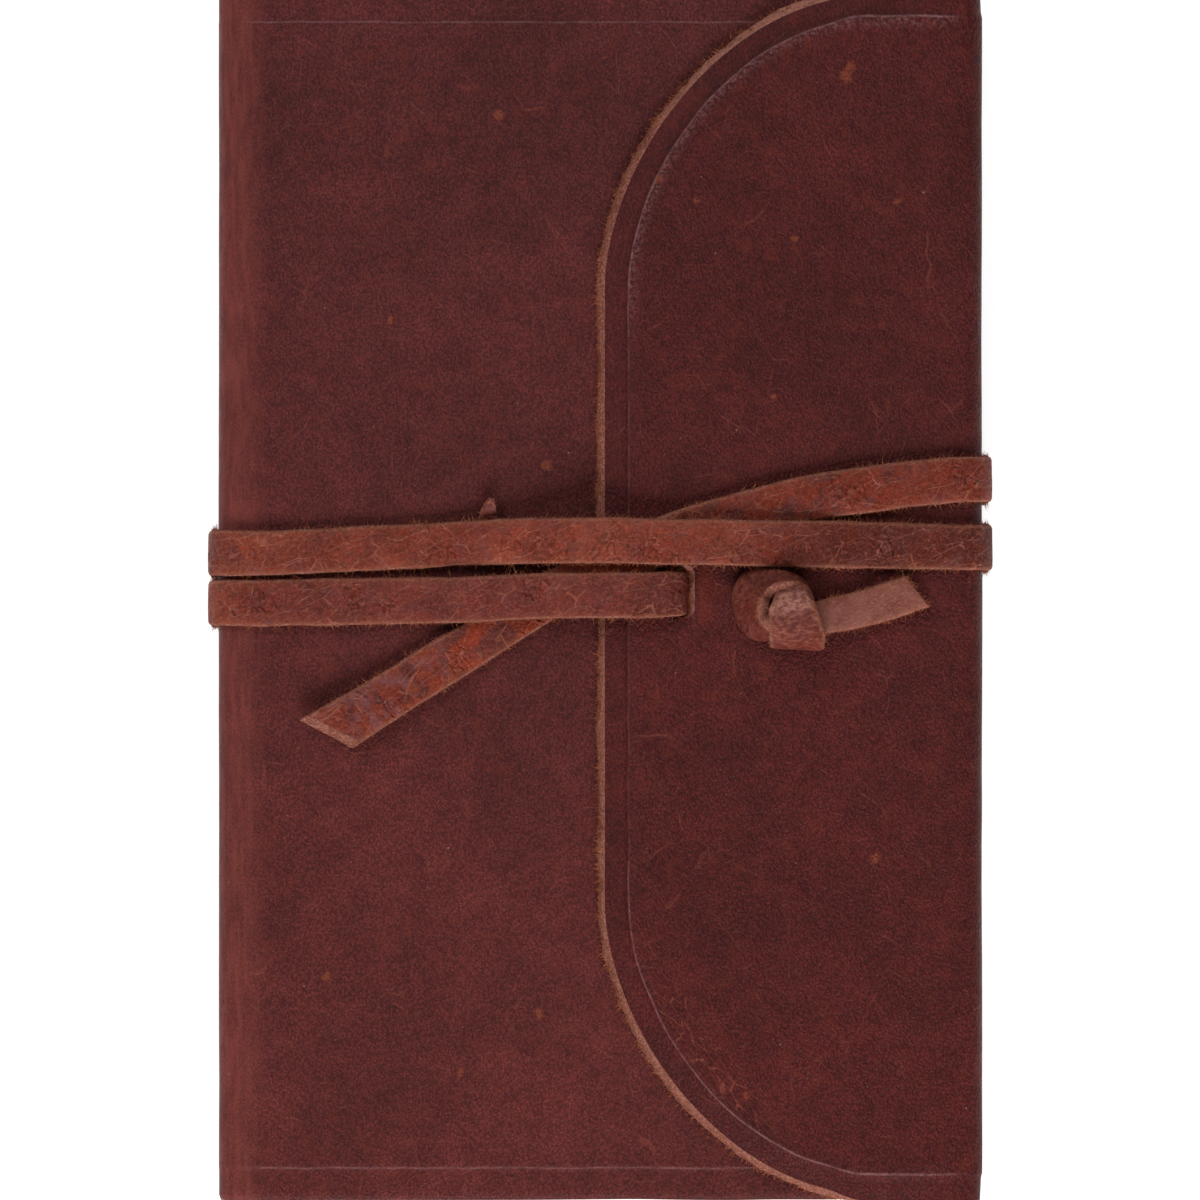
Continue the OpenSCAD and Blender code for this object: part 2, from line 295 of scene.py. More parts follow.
# Runs of the face from the flap's free edge, round the fore-edge, the back and the spine, to the
# front's free edge: length, first point (x, z), first heading and the turn along it, in degrees
RUNS = [
    (FOLD_X - FLAP_X, (FLAP_X, FLAP_Z), 0, 0),
    (QUARTER, (FOLD_X, FLAP_Z), 0, -90),
    (FLAP_FOLD_Z - LOW_FOLD_Z, (SIDE_X, FLAP_FOLD_Z), -90, 0),
    (QUARTER, (SIDE_X, LOW_FOLD_Z), -90, -90),
    (2 * FOLD_X, (FOLD_X, BACK_Z), -180, 0),
    (QUARTER, (-FOLD_X, BACK_Z), -180, -90),
    (SPINE_FOLD_Z - LOW_FOLD_Z, (-SIDE_X, LOW_FOLD_Z), -270, 0),
    (QUARTER, (-SIDE_X, SPINE_FOLD_Z), -270, -90),
    (FREE_X + FOLD_X, (-FOLD_X, FRONT_Z), -360, 0),
]
STARTS = np.concatenate([[0], np.cumsum([run[0] for run in RUNS])])
S_FLAP_FOLD, S_FORE, S_FORE_FOLD, S_BACK, S_BACK_FOLD = STARTS[1:6]
S_SPINE, S_SPINE_FOLD, S_FRONT, S_END = STARTS[6:]
MID_FORE = (S_FORE + S_FORE_FOLD) / 2
MID_BACK = (S_BACK + S_BACK_FOLD) / 2
MID_SPINE = (S_SPINE + S_SPINE_FOLD) / 2


def face(s):
    """The (x, z) of the hide's outer face at s, and the face's outward direction."""
    s = np.asarray(s, float)
    place, normal = np.zeros(s.shape + (2,)), np.zeros(s.shape + (2,))
    number = np.clip(np.searchsorted(STARTS, s, side="right") - 1, 0, len(RUNS) - 1)
    for k, (length, first, heading, turn) in enumerate(RUNS):
        here = number == k
        t = (s[here] - STARTS[k]) / length
        angle = np.radians(heading + turn * t)
        out = np.stack([-np.sin(angle), np.cos(angle)], -1)
        start = math.radians(heading)
        if turn:
            centre = np.array(first) - FOLD_R * np.array([-math.sin(start), math.cos(start)])
            place[here] = centre + FOLD_R * out
        else:
            along = np.array([math.cos(start), math.sin(start)])
            place[here] = np.array(first) + along * (t * length)[..., None]
        normal[here] = out
    return place, normal


def on_hide(s, y, h):
    """Points at height h over the hide's outer face."""
    place, normal = face(s)
    point = place + normal * np.asarray(h)[..., None]
    return np.stack([point[..., 0], np.asarray(y) + 0 * point[..., 0], point[..., 1]], -1)


def ragged_edges(s, y, h):
    """on_hide, with the head and tail edges cut a little unevenly by hand."""
    near = smooth(HALF_H - 7 * MM, HALF_H, np.abs(y))
    return on_hide(s, y + near * 0.28 * MM * waves(s, np.sign(y) * 40 * MM, 34 * MM), h)


def inset_of(x, y):
    """How far (x, y) lies inside the flap's outline, whose corners are superellipses."""
    x, y = np.asarray(x), np.abs(np.asarray(y))
    low, high = np.zeros(x.shape) - 4 * MM, np.zeros(x.shape) + 45 * MM
    dx = np.clip(FLAP_X + CORNER_W - x, 0, None)
    dy = np.clip(y - (HALF_H - CORNER_H), 0, None)
    for _ in range(26):
        d = (low + high) / 2
        size = (dx / (CORNER_W - d)) ** CORNER_POWER + (dy / (CORNER_H - d)) ** CORNER_POWER
        low, high = np.where(size < 1, d, low), np.where(size < 1, high, d)
    return (low + high) / 2


def flap_curve(inset):
    """(s, y) along the flap's outline at an inset, from its tail to its head, round the D."""
    a = np.linspace(0, math.pi / 2, 160)
    reach_x, reach_y = CORNER_W - inset, CORNER_H - inset
    x = FLAP_X + CORNER_W - reach_x * np.cos(a) ** (2 / CORNER_POWER)
    y = HALF_H - CORNER_H + reach_y * np.sin(a) ** (2 / CORNER_POWER)
    x = np.concatenate([[x[0]], x, [MID_FORE + FLAP_X]])
    y = np.concatenate([[0], y, [HALF_H - inset]])
    run = np.concatenate([[0], np.cumsum(np.hypot(np.diff(x), np.diff(y)))])
    spots = np.linspace(0, run[-1], int(run[-1] / (1.1 * MM)) + 1)
    half = np.stack([np.interp(spots, run, x) - FLAP_X, np.interp(spots, run, y)], 1)
    return np.vstack([half[:0:-1] * [1, -1], half])


# How far in from an edge the mesh has its rows: close together at the edge and at the ridges
EDGE_STEPS = np.array([0, 0.2, 0.5, 1, 1.8, 2.8, 3.6, 4.1, 4.5, 4.9, 5.3, 5.7, 6.2, 6.8, 7.6, 9, 11])
EDGE_STEPS = EDGE_STEPS * MM


def even(a, b, step):
    return np.linspace(a, b, max(2, int(abs(b - a) / step) + 1))


def across_book():
    """Y values from tail to head, close together at both edges."""
    inner = even(-HALF_H + EDGE_STEPS[-1], HALF_H - EDGE_STEPS[-1], 2.3 * MM)[1:-1]
    return np.concatenate([-HALF_H + EDGE_STEPS, inner, (HALF_H - EDGE_STEPS)[::-1]])


def along_hide(first, last):
    """S values between two places, close together in the folds."""
    values = [first]
    for k in range(len(RUNS)):
        a, b = max(first, STARTS[k]), min(last, STARTS[k + 1])
        if b > a:
            values += even(a, b, (0.5 if RUNS[k][3] else 2.3) * MM)[1:].tolist()
    return np.array(values)


def edge_round(inset):
    """The grain side turns down a little at a cut edge."""
    return -0.35 * MM * (1 - smooth(0, 0.9 * MM, inset))


def softness(s, y):
    """The hide is never quite flat."""
    return 0.16 * MM * waves(s, y, 42 * MM) + 0.05 * MM * waves(s, y, 9 * MM, shift=4)


def panel_lift(s, y):
    """The front and back: a shallow margin outside the boards, with a soft crest at its inner side."""
    inset = HALF_H - np.abs(y)
    flat = smooth(S_SPINE_FOLD, S_FRONT + 2 * MM, s) + smooth(S_BACK_FOLD, S_BACK_FOLD - 3 * MM, s)
    flat = np.clip(flat, 0, 1)
    step = MARGIN + 0.25 * MM * waves(s, y * 0 + np.sign(y), 12 * MM)
    dip = -0.2 * MM * (1 - smooth(step - 0.6 * MM, step + 0.4 * MM, inset))
    crest = 0.08 * MM * bell(inset, step + 0.4 * MM, 0.4 * MM)
    return (dip + crest) * (0.25 + 0.75 * flat) + edge_round(inset) + softness(s, y) * 0.8


def flap_lift(s, y):
    """The flap: low in its bare margin, a ridge over its board's edge, and creases by the knot."""
    x = s + FLAP_X
    inset = inset_of(np.minimum(x, STRAIGHT_X), y)
    onto_fold = smooth(54 * MM, 66 * MM, x)
    ridge = RIDGE + 0.1 * MM * waves(x, y, 17 * MM, shift=2) * (1 - onto_fold)
    low = FLAP_LOW * (1 - 0.72 * onto_fold)
    margin = low * (0.46 * (1 - smooth(ridge - 0.75 * MM, ridge + 0.25 * MM, inset))
                    + 0.54 * (1 - smooth(-1 * MM, ridge, inset)))
    crest = 0.06 * MM * bell(inset, ridge + 0.3 * MM, 0.4 * MM) * (1 - onto_fold)
    corner = smooth(40 * MM, 62 * MM, np.abs(y)) * smooth(100 * MM, 80 * MM, np.abs(y))
    ripple = 0.16 * MM * corner * bell(inset, 8 * MM, 5 * MM) * wave(x * 1.0, y * 1.0, 3.6 * MM, 5)
    pulled = bell(y, 0.4 * MM, 5 * MM) * smooth(17 * MM, 20 * MM, x) * smooth(44 * MM, 30 * MM, x)
    creases = 0.22 * MM * pulled * wave(x * 0.45, y + 0.2 * x, 2.1 * MM, 8)
    spread = bell(x, 33 * MM, 15 * MM) * bell(y, -14 * MM, 14 * MM)
    folds = 0.16 * MM * spread * wave(x + 0.5 * y, y * 0.3, 5 * MM, 9)
    lip = 0.3 * MM * bell(x, SLOT_X + 2.4 * MM, 1.6 * MM) * bell(y, SLOT_Y, 5.5 * MM)
    return margin + crest + ripple + creases + folds + lip + edge_round(inset) + softness(s, y)


def flap_depth(s, y):
    """How far a place on the flap lies inside its edge, round the D and along its sides."""
    return np.minimum(inset_of(np.minimum(s + FLAP_X, STRAIGHT_X), y), HALF_H - np.abs(y))


def rounded_box(x, y, half_x, half_y, corner=0.8 * MM, step=0.8 * MM):
    """A closed loop of points round a rectangle with rounded corners."""
    corners = [(1, 1, 0), (-1, 1, 90), (-1, -1, 180), (1, -1, 270)]
    points = []
    for sx, sy, start in corners:
        for a in np.radians(np.linspace(start, start + 90, 6)):
            points.append((x + sx * (half_x - corner) + corner * math.cos(a),
                           y + sy * (half_y - corner) + corner * math.sin(a)))
    points = np.array(points + points[:1])
    run = np.concatenate([[0], np.cumsum(np.hypot(*np.diff(points, axis=0).T))])
    spots = np.linspace(0, run[-1], int(run[-1] / step) + 1)[:-1]
    return np.stack([np.interp(spots, run, points[:, 0]), np.interp(spots, run, points[:, 1])], 1)


def flap_flat(first_inset, insets, cuts, end):
    """The flap's flat mesh from rings that follow its outline, with closed cuts left out."""
    rings = [flap_curve(first_inset + d) for d in insets]
    rings = [ring[ring[:, 0] < end - 0.3 * MM] for ring in rings]
    outline = np.vstack([[[end, rings[0][0][1]]], rings[0], [[end, rings[0][-1][1]]]])
    sides = even(HALF_H, -HALF_H, 2.3 * MM)
    sides = sides[np.abs(sides) < HALF_H - first_inset - 1 * MM]
    outline = np.vstack([outline, np.stack([np.full(len(sides), end), sides], 1)])
    columns = along_hide(0, end)
    inner = []
    for k, s in enumerate(columns[1:-1]):
        y = even(-HALF_H, HALF_H, 2.4 * MM) + (k % 2) * 1.2 * MM
        inner.append(np.stack([np.full(len(y), s), y], 1))
    inner = np.vstack(inner)
    inner = inner[flap_depth(inner[:, 0], inner[:, 1]) > first_inset + insets[-1] + 0.8 * MM]
    by_knot = np.meshgrid(even(14 * MM, 46 * MM, 1.1 * MM), even(-16 * MM, 9 * MM, 1.1 * MM))
    inner = np.vstack([inner, np.stack(by_knot, -1).reshape(-1, 2) - [FLAP_X, 0]])
    for cut in cuts:
        low, high = cut.min(0) - 0.5 * MM, cut.max(0) + 0.5 * MM
        inner = inner[~((inner > low) & (inner < high)).all(1)]

    def inside(s, y):
        keep = flap_depth(s, y) > first_inset
        for cut in cuts:
            low, high = cut.min(0), cut.max(0)
            keep &= ~((s > low[0]) & (s < high[0]) & (y > low[1]) & (y < high[1]))
        return keep

    return triangulated([outline] + cuts, rings[1:], inner, inside)


# ---------------------------------------------------------------- strands and straps
def hairs(roots, heads, longest=1.4 * MM):
    """Loose fibres as thin closed tapering strands: their points and faces."""
    radius = 0.055 * MM
    count = len(roots)
    if not count:
        return np.zeros((0, 3)), []
    length = longest * rng.beta(0.9, 4.0, count) + 0.15 * MM
    heads = heads / np.linalg.norm(heads, axis=1)[:, None]
    curl = rng.normal(0, 0.8, (count, 3))
    one = np.cross(heads, rng.normal(0, 1, (count, 3)))
    one /= np.linalg.norm(one, axis=1)[:, None]
    two = np.cross(heads, one)
    points, faces = [], []
    for t, width in ((-0.12, 1.0), (0.3, 0.9), (0.65, 0.6)):
        spine = roots + heads * (length * t)[:, None] + curl * (length * t * t)[:, None] * 0.7
        for k in range(3):
            a = 2 * math.pi * k / 3
            points.append(spine + (one * math.cos(a) + two * math.sin(a)) * radius * width)
    points.append(roots + heads * length[:, None] + curl * length[:, None] * 0.7)
    points = np.stack(points, 1).reshape(-1, 3)
    for n in range(count):
        b = 10 * n
        faces.append([b + 2, b + 1, b])
        for ring in (0, 3):
            for k in range(3):
                faces.append([b + ring + k, b + ring + (k + 1) % 3,
                              b + ring + 3 + (k + 1) % 3, b + ring + 3 + k])
        faces += [[b + 6 + k, b + 6 + (k + 1) % 3, b + 9] for k in range(3)]
    return points, faces


def curve_through(points, step):
    """Catmull-Rom samples through rows whose first three numbers are a place, and each row's sample."""
    p = np.vstack([2 * points[0] - points[1], points, 2 * points[-1] - points[-2]])
    rows, spots = [], [0]
    for k in range(1, len(p) - 2):
        count = max(1, int(np.linalg.norm(p[k + 1][:3] - p[k][:3]) / step))
        t = (np.arange(count) / count)[:, None]
        rows.append(0.5 * (
            2 * p[k] + (p[k + 1] - p[k - 1]) * t
            + (2 * p[k - 1] - 5 * p[k] + 4 * p[k + 1] - p[k + 2]) * t**2
            + (3 * p[k] - p[k - 1] - 3 * p[k + 1] + p[k + 2]) * t**3
        ))
        spots.append(spots[-1] + count)
    rows.append(points[-1:])
    return np.vstack(rows), spots


# The strap's cut across: place over its width and over its thickness, round the grain side first,
# and the material of each side of it
TOP_CUT = [(-1, 0.3), (-0.985, 0.66), (-0.94, 0.9), (-0.84, 1), (-0.5, 1.03), (-0.17, 1.04),
           (0.17, 1.04), (0.5, 1.03), (0.84, 1), (0.94, 0.9), (0.985, 0.66), (1, 0.3)]
LOW_CUT = [(1.015, -0.3), (1.0, -0.85), (0.93, -1), (0.45, -1), (0, -1),
           (-0.45, -1), (-0.93, -1), (-1.0, -0.85), (-1.015, -0.3)]
CUT = np.array(TOP_CUT + LOW_CUT)
CUT_MARKS = [1] * 2 + [0] * 7 + [1] * 5 + [2] * 4 + [1] * 3


def tangents(centre):
    t = np.gradient(centre, axis=0)
    return t / np.linalg.norm(t, axis=1)[:, None]


def strap_rows(stations, step=0.75 * MM):
    """A strap's path as even rows: place, outward direction, width and length so far.

    stations are (place, outward direction, width). The second result is each station's row.
    """
    rows = np.array([[*place, *up, width] for place, up, width in stations], float)
    rows, spots = curve_through(rows, step)
    run = np.concatenate([[0], np.cumsum(np.linalg.norm(np.diff(rows[:, :3], axis=0), axis=1))])
    return np.hstack([rows, run[:, None]]), spots


def strap(name, rows, materials, thickness=TIE_T, slants=(0, 0), free=(0, 0), seed=0, fuzz=8,
          rough=1.0, longest=1.5 * MM, bevel=0):
    """A flat leather strap along rows. slants shift its two cut ends, and free ends get fibres.

    bevel is how far the last end's flesh side reaches past its grain side. materials are for its
    grain side, its cut edges, its flesh side and its fibres.
    """
    centre, up, width, run = rows[:, :3], rows[:, 3:6], rows[:, 6], rows[:, 7]
    along = tangents(centre)
    side = np.cross(up, along)
    side /= np.linalg.norm(side, axis=1)[:, None]
    up = np.cross(along, side)
    a, b = CUT[:, 0][None], CUT[:, 1][None]
    u, v = run[:, None] + 0 * a, a * width[:, None] / 2
    rim = smooth(0.8, 1.0, np.abs(a))
    uneven = rough * rim * np.sign(a) * (
        0.16 * MM * wave(u, np.sign(a) * 9 * MM + 0 * u, 6 * MM, seed)
        + 0.07 * MM * wave(u, b * 2 * MM + 0 * u, 1.1 * MM, seed + 2))
    swell = rough * (0.07 * MM * wave(u, v, 7 * MM, seed + 4)
                     + 0.05 * MM * wave(u, v, 2.1 * MM, seed + 5))
    swell = swell * np.where(b > 0, 1, 0.3) - 0.12 * MM * rim * (b > 0.5)
    from_start, from_end = u - u[0, 0], u[-1, 0] - u
    slide = slants[0] * np.exp(-from_start / (3 * MM)) + slants[1] * np.exp(-from_end / (3 * MM))
    skew = a * slide - (b - 1) / 2 * bevel * np.exp(-from_end / (1.2 * MM))
    points = (centre[:, None] + side[:, None] * (v + uneven)[..., None]
              + up[:, None] * (b * thickness / 2 + swell)[..., None] + along[:, None] * skew[..., None])
    count, size = points.shape[:2]
    index = np.arange(count * size).reshape(count, size)
    right = np.roll(index, -1, axis=1)
    faces = np.stack([index[:-1], index[1:], right[1:], right[:-1]], -1).reshape(-1, 4).tolist()
    marks = CUT_MARKS * (count - 1)
    points = points.reshape(-1, 3)
    rest = np.stack([u, v, b * thickness / 2 + 0 * u], -1).reshape(-1, 3)
    edge = (rim + 0 * u).ravel()
    for end, sign in ((0, -1), (count - 1, 1)):
        middle = len(points)
        reach = 0.15 * MM * free[0 if sign < 0 else 1] + (bevel / 2 if sign > 0 else 0)
        bulge = centre[end] + sign * along[end] * reach
        points = np.vstack([points, bulge])
        rest = np.vstack([rest, [run[end], 0, 0]])
        edge = np.append(edge, 1.0)
        for k in range(size):
            p, q = index[end, k], index[end, (k + 1) % size]
            faces.append([p, q, middle] if sign < 0 else [q, p, middle])
            marks.append(1)
    roots, heads = [], []
    for corner, sign in ((0, -1), (11, 1)):
        number = int(run[-1] * fuzz / (10 * MM) - run[0] * fuzz / (10 * MM))
        spots = rng.integers(1, count - 1, number)
        sunk = up[spots] * rng.uniform(0, 1, (number, 1)) * thickness * 0.5
        roots.append(points[index[spots, corner]] - sunk)
        lean = along[spots] * rng.normal(0, 0.8, (number, 1))
        heads.append(side[spots] * sign + lean + up[spots] * 0.15)
    for end, sign, wanted in ((0, -1, free[0]), (count - 1, 1, free[1])):
        number = int(wanted * 150)
        spots = rng.integers(0, size, number)
        mix = rng.uniform(0.2, 1, (number, 1))
        roots.append(points[index[end, spots]] * mix + centre[end] * (1 - mix))
        heads.append(along[end] * sign + rng.normal(0, 0.3, (number, 3)))
    hair_points, hair_faces = hairs(np.vstack(roots), np.vstack(heads), longest)
    faces += [[len(points) + i for i in corner] for corner in hair_faces]
    marks += [3] * len(hair_faces)
    points = np.vstack([points, hair_points])
    rest = np.vstack([rest, hair_points])
    edge = np.concatenate([edge, np.ones(len(hair_points))])
    return finish_mesh(name, points, faces, materials, marks, rest, edge)


# ---------------------------------------------------------------- the tie's path
def over(level, *rows):
    """Stations over the front or the flap, at a level. The rows are x, y, lift and width in mm."""
    return [((x * MM, y * MM, level + lift * MM), (0, 0, 1), width * MM) for x, y, lift, width in rows]


def round_book(s_values, y_values):
    """Stations along the hide's face, with the strap lying on it."""
    s_values = np.asarray(s_values, float)
    places = on_hide(s_values, np.asarray(y_values, float), TIE_H + 0 * s_values)
    ups = face(s_values)[1]
    return [(tuple(p), (u[0], 0, u[1]), TIE_W) for p, u in zip(places, ups)]


def fold_values(fold_first, fold_last, flat_last):
    """S values through a fold, and from it to the middle of the flat next to it."""
    return np.concatenate([even(fold_first, fold_last, 1.3 * MM), even(fold_last, flat_last, 6 * MM)[1:]])


def over_front_fold(y_top):
    """From the front's edge over the fold to the middle of the spine."""
    s = fold_values(S_FRONT, S_SPINE_FOLD, MID_SPINE)
    return round_book(s, np.full(len(s), y_top))


def round_spine(y_top, back):
    """From the middle of the spine to the middle of the back. back is (x, y) in mm."""
    s = np.concatenate([even(MID_SPINE, S_SPINE, 6 * MM)[1:], even(S_SPINE, S_BACK_FOLD, 1.3 * MM)[1:]])
    stations = round_book(s, np.full(len(s), y_top))
    places = np.array(back) * MM
    return stations + round_book(S_BACK + FOLD_X - places[:, 0], places[:, 1])


def round_fore(y_top, back):
    """From the middle of the back round the fore-edge to the middle of the fore-edge."""
    places = np.array(back) * MM
    s = fold_values(S_BACK, S_FORE_FOLD, MID_FORE)
    return (round_book(S_BACK + FOLD_X - places[:, 0], places[:, 1])
            + round_book(s, np.full(len(s), y_top)))


def onto_flap(y_top):
    """From the middle of the fore-edge over the fold to the flap's edge."""
    s = np.concatenate([even(MID_FORE, S_FORE, 6 * MM)[1:], even(S_FORE, S_FLAP_FOLD, 1.3 * MM)[1:-1]])
    return round_book(s, np.full(len(s), y_top))


def tie_path():
    """The whole visible tie as rows, and the rows at which it is divided into pieces."""
    out_of_slot = [
        ((15.5 * MM, 0.3 * MM, FLAP_Z - 2.4 * MM), (1, 0, 0), 8.2 * MM),
        ((15.4 * MM, 0.3 * MM, FLAP_Z - 0.9 * MM), (1, 0, 0.1), 8.2 * MM),
        ((14.8 * MM, 0.25 * MM, FLAP_Z + 0.4 * MM), (0.75, 0, 0.65), 8.3 * MM),
        ((13.4 * MM, 0.2 * MM, FLAP_Z + 1.35 * MM), (0.3, 0, 0.95), 8.4 * MM),
    ]
    lower = over(ON_FLAP, (11.5, 0.1, 1.1, 8.5), (8.5, 0, 2, 8.4), (3.5, 0, 2.15, 8.4)) + over(
        ON_FRONT, (-9, -0.2, 2.8, 8.4), (-18, -0.55, 2.55, 8.4), (-26, -0.9, 1.9, 8.5),
        (-33, -1, 0.5, 8.5), (-39, -1.1, 0, 8.6), (-50, -1.3, 0, 8.6), (-58, -1.4, 0, 8.6),
        (-64, -1.5, 0, 8.5))
    upper = over(
        ON_FLAP, (67, 8.8, 0, 8.4), (60, 9, 0, 8.5), (52, 9.2, 0, 8.6), (46, 9.3, 0.5, 8.6),
        (40, 9.5, 1.9, 8.5), (30, 9.6, 2.1, 8.4), (20, 9.8, 2.1, 8.4), (10, 9.9, 2.05, 8.4),
        (1, 10.1, 2, 8.4)) + over(
        ON_FRONT, (-10, 10.1, 2.8, 8.3), (-17, 9.9, 1.7, 8.3), (-24, 9.6, 0.6, 8.2),
        (-32, 9.2, 0, 8.2), (-48, 8.4, 0, 8.2), (-58, 7.9, 0, 8.2), (-64, 7.8, 0, 8.2))
    end = over(
        ON_FLAP, (67, 21.5, 0, 8.4), (60, 20.8, 0, 8.4), (52, 19.9, 0, 8.5), (38, 17.7, 0, 8.6),
        (22, 13.5, 0, 8.6), (12.5, 10.4, 0, 8.5), (3, 6.1, 0.1, 8.4), (-3, 3.2, -1.6, 8.4)) + over(
        ON_FRONT, (-9, 0.3, 0.15, 8.4), (-13, -2.3, 0, 8.4))
    tip = over(
        ON_FRONT, (-18, -5.5, 0, 8.4), (-24, -9.4, 0.05, 8.5), (-30, -13.1, 0.2, 8.6),
        (-36, -16.8, 0.4, 8.6), (-43, -21.1, 0.9, 8.8), (-49.4, -24.9, 1.6, 9.4))
    parts = [
        out_of_slot + lower,
        over_front_fold(SPINE_Y[0]),
        round_spine(SPINE_Y[0], [(-55, -1.8), (-40, -2), (-20, -1.5), (0, -0.5)]),
        round_fore(FORE_Y[0], [(20, 1.9), (40, 4.5), (56, 7.2)]),
        onto_flap(FORE_Y[0]) + upper,
        over_front_fold(SPINE_Y[1]),
        round_spine(SPINE_Y[1], [(-50, 8.8), (-30, 10), (-15, 11.7), (0, 13.5)]),
        round_fore(FORE_Y[1], [(15, 15.2), (30, 17), (50, 19.7)]),
        onto_flap(FORE_Y[1]) + end,
        tip,
    ]
    rows, spots = strap_rows([station for part in parts for station in part])
    ends = np.cumsum([len(part) for part in parts]) - 1
    return rows, [0] + [spots[k] for k in ends]


def join(piece, where, slot, *nodes):
    """A piece that lies across one of the book's joints has its transform baked into its points, and stands
    for some CAD nodes.
    """
    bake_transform(piece)
    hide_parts(*nodes)


def fix(piece, body, slot, *nodes):
    """A piece rides on one body, and stands for some CAD nodes."""
    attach(piece, body)
    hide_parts(*nodes)


# ---------------------------------------------------------------- pieces
def make_hide(hide, raw, flesh, fibre):
    parts = [hide, raw, flesh]
    for name, first, last, where, nodes in (
        ("hide_front", MID_SPINE, S_END, "front", ("outer_front", "fold_spine_front", "outer_spine")),
        ("hide_spine", MID_BACK, MID_SPINE, "spine", ("outer_back", "fold_back_spine", "outer_spine")),
        ("hide_fore_edge", MID_FORE, MID_BACK, "fore", ("outer_back", "fold_back_fore", "outer_fore_edge")),
    ):
        flat, faces = grid(along_hide(first, last), across_book())
        panel_edge = lambda s, y: (HALF_H - np.abs(y)) / MM
        piece = shell(name, flat, faces, ragged_edges, HIDE_T, parts, panel_lift, edge=panel_edge)
        join(piece, where, "hide", *nodes)
    shift = np.array([FLAP_X, 0])
    slot = rounded_box(SLOT_X - 0.9 * MM, SLOT_Y, 1.9 * MM, SLOT_LEN / 2, 1.8 * MM, 0.5 * MM) - shift
    slit = rounded_box(SLIT_X, 0, SLIT_W / 2, SLOT_LEN / 2) - shift
    band = 1.5 * MM
    flat, faces = flap_flat(band, EDGE_STEPS, [slot, slit], MID_FORE)

    def slope(s, y):
        """The cut edge spreads outwards round the D, and a little at the slot's right lip."""
        edge = band * smooth(CUT_ENDS_AT, CUT_FADES_AT, s) * (0.9 + 0.25 * waves(s, y, 7 * MM, shift=6))
        x = s + FLAP_X
        near = (np.abs(x - SLOT_X) < 4 * MM) & (np.abs(y) < 8 * MM)
        lip = 1.1 * MM * smooth(SLOT_X - 2.0 * MM, SLOT_X - 0.4 * MM, x)
        return np.where(near, lip, np.where(np.hypot(x - SLIT_X, y) < 8 * MM, 0, edge))

    def sides(s, y, h):
        """Past the D the flap's sides move out by the cut edge's width, to the head and the tail."""
        keep = smooth(CUT_FADES_AT, CUT_ENDS_AT, s) * smooth(HALF_H - 12 * MM, HALF_H - band, np.abs(y))
        return ragged_edges(s, y + np.sign(y) * band * keep, h)

    flap = shell("hide_flap", flat, faces, sides, HIDE_T, parts + [fibre], flap_lift, slope,
                 lambda s, y: flap_depth(s, y) / MM, rim_steps=6, ragged=0.25 * MM, fuzz=130)
    join(flap, "flap", "hide", "outer_flap", "fold_fore_flap", "outer_fore_edge")


def make_tie(rows, ends, leather, raw, flesh, fibre):
    parts = [leather, raw, flesh, fibre]
    pieces = []
    names = ("lower_pass", "front_fold_low", "spine_turn_low", "back_turn_low", "upper_pass",
             "front_fold_high", "spine_turn_high", "back_turn_high", "end_run", "end_tip")
    for k, name in enumerate(names):
        last = name == "end_tip"
        part = rows[ends[k]:ends[k + 1] + 1]
        pieces.append(strap("strap_" + name, part, parts, slants=(0, -2.9 * MM if last else 0),
                            free=(0, last), seed=1, fuzz=64, bevel=1.7 * MM * last))
    fix(pieces[0], "flap", "tie_leather", "tie_lower_pass")
    for first in (1, 5):
        for piece, where, nodes in zip(pieces[first:first + 3], ("front", "spine", "fore"), (
            ("tie_corner_spine_front", "tie_spine_runs"),
            ("tie_spine_runs", "tie_corner_back_spine", "tie_back_runs"),
            ("tie_back_runs", "tie_corner_back_fore", "tie_fore_runs"),
        )):
            join(piece, where, "tie_leather", *nodes)
    for piece, node in ((pieces[4], "tie_upper_pass"), (pieces[8], "tie_end_run")):
        join(piece, "flap", "tie_leather", "tie_fore_runs", "tie_corner_fore_flap", node)
    join(pieces[9], "tip", "tie_leather", "tie_end_tip")


def knot_strap(name, node, level, rows, parts, **facts):
    """A short strap that rides on the flap. rows are its stations in mm, their heights over level."""
    stations = [(np.array((x, y, level + z)) * MM, up, width * MM) for x, y, z, *up, width in rows]
    path, _ = strap_rows(stations, 0.45 * MM)
    fix(strap(name, path, parts, **facts), "flap", "tie_leather", node)


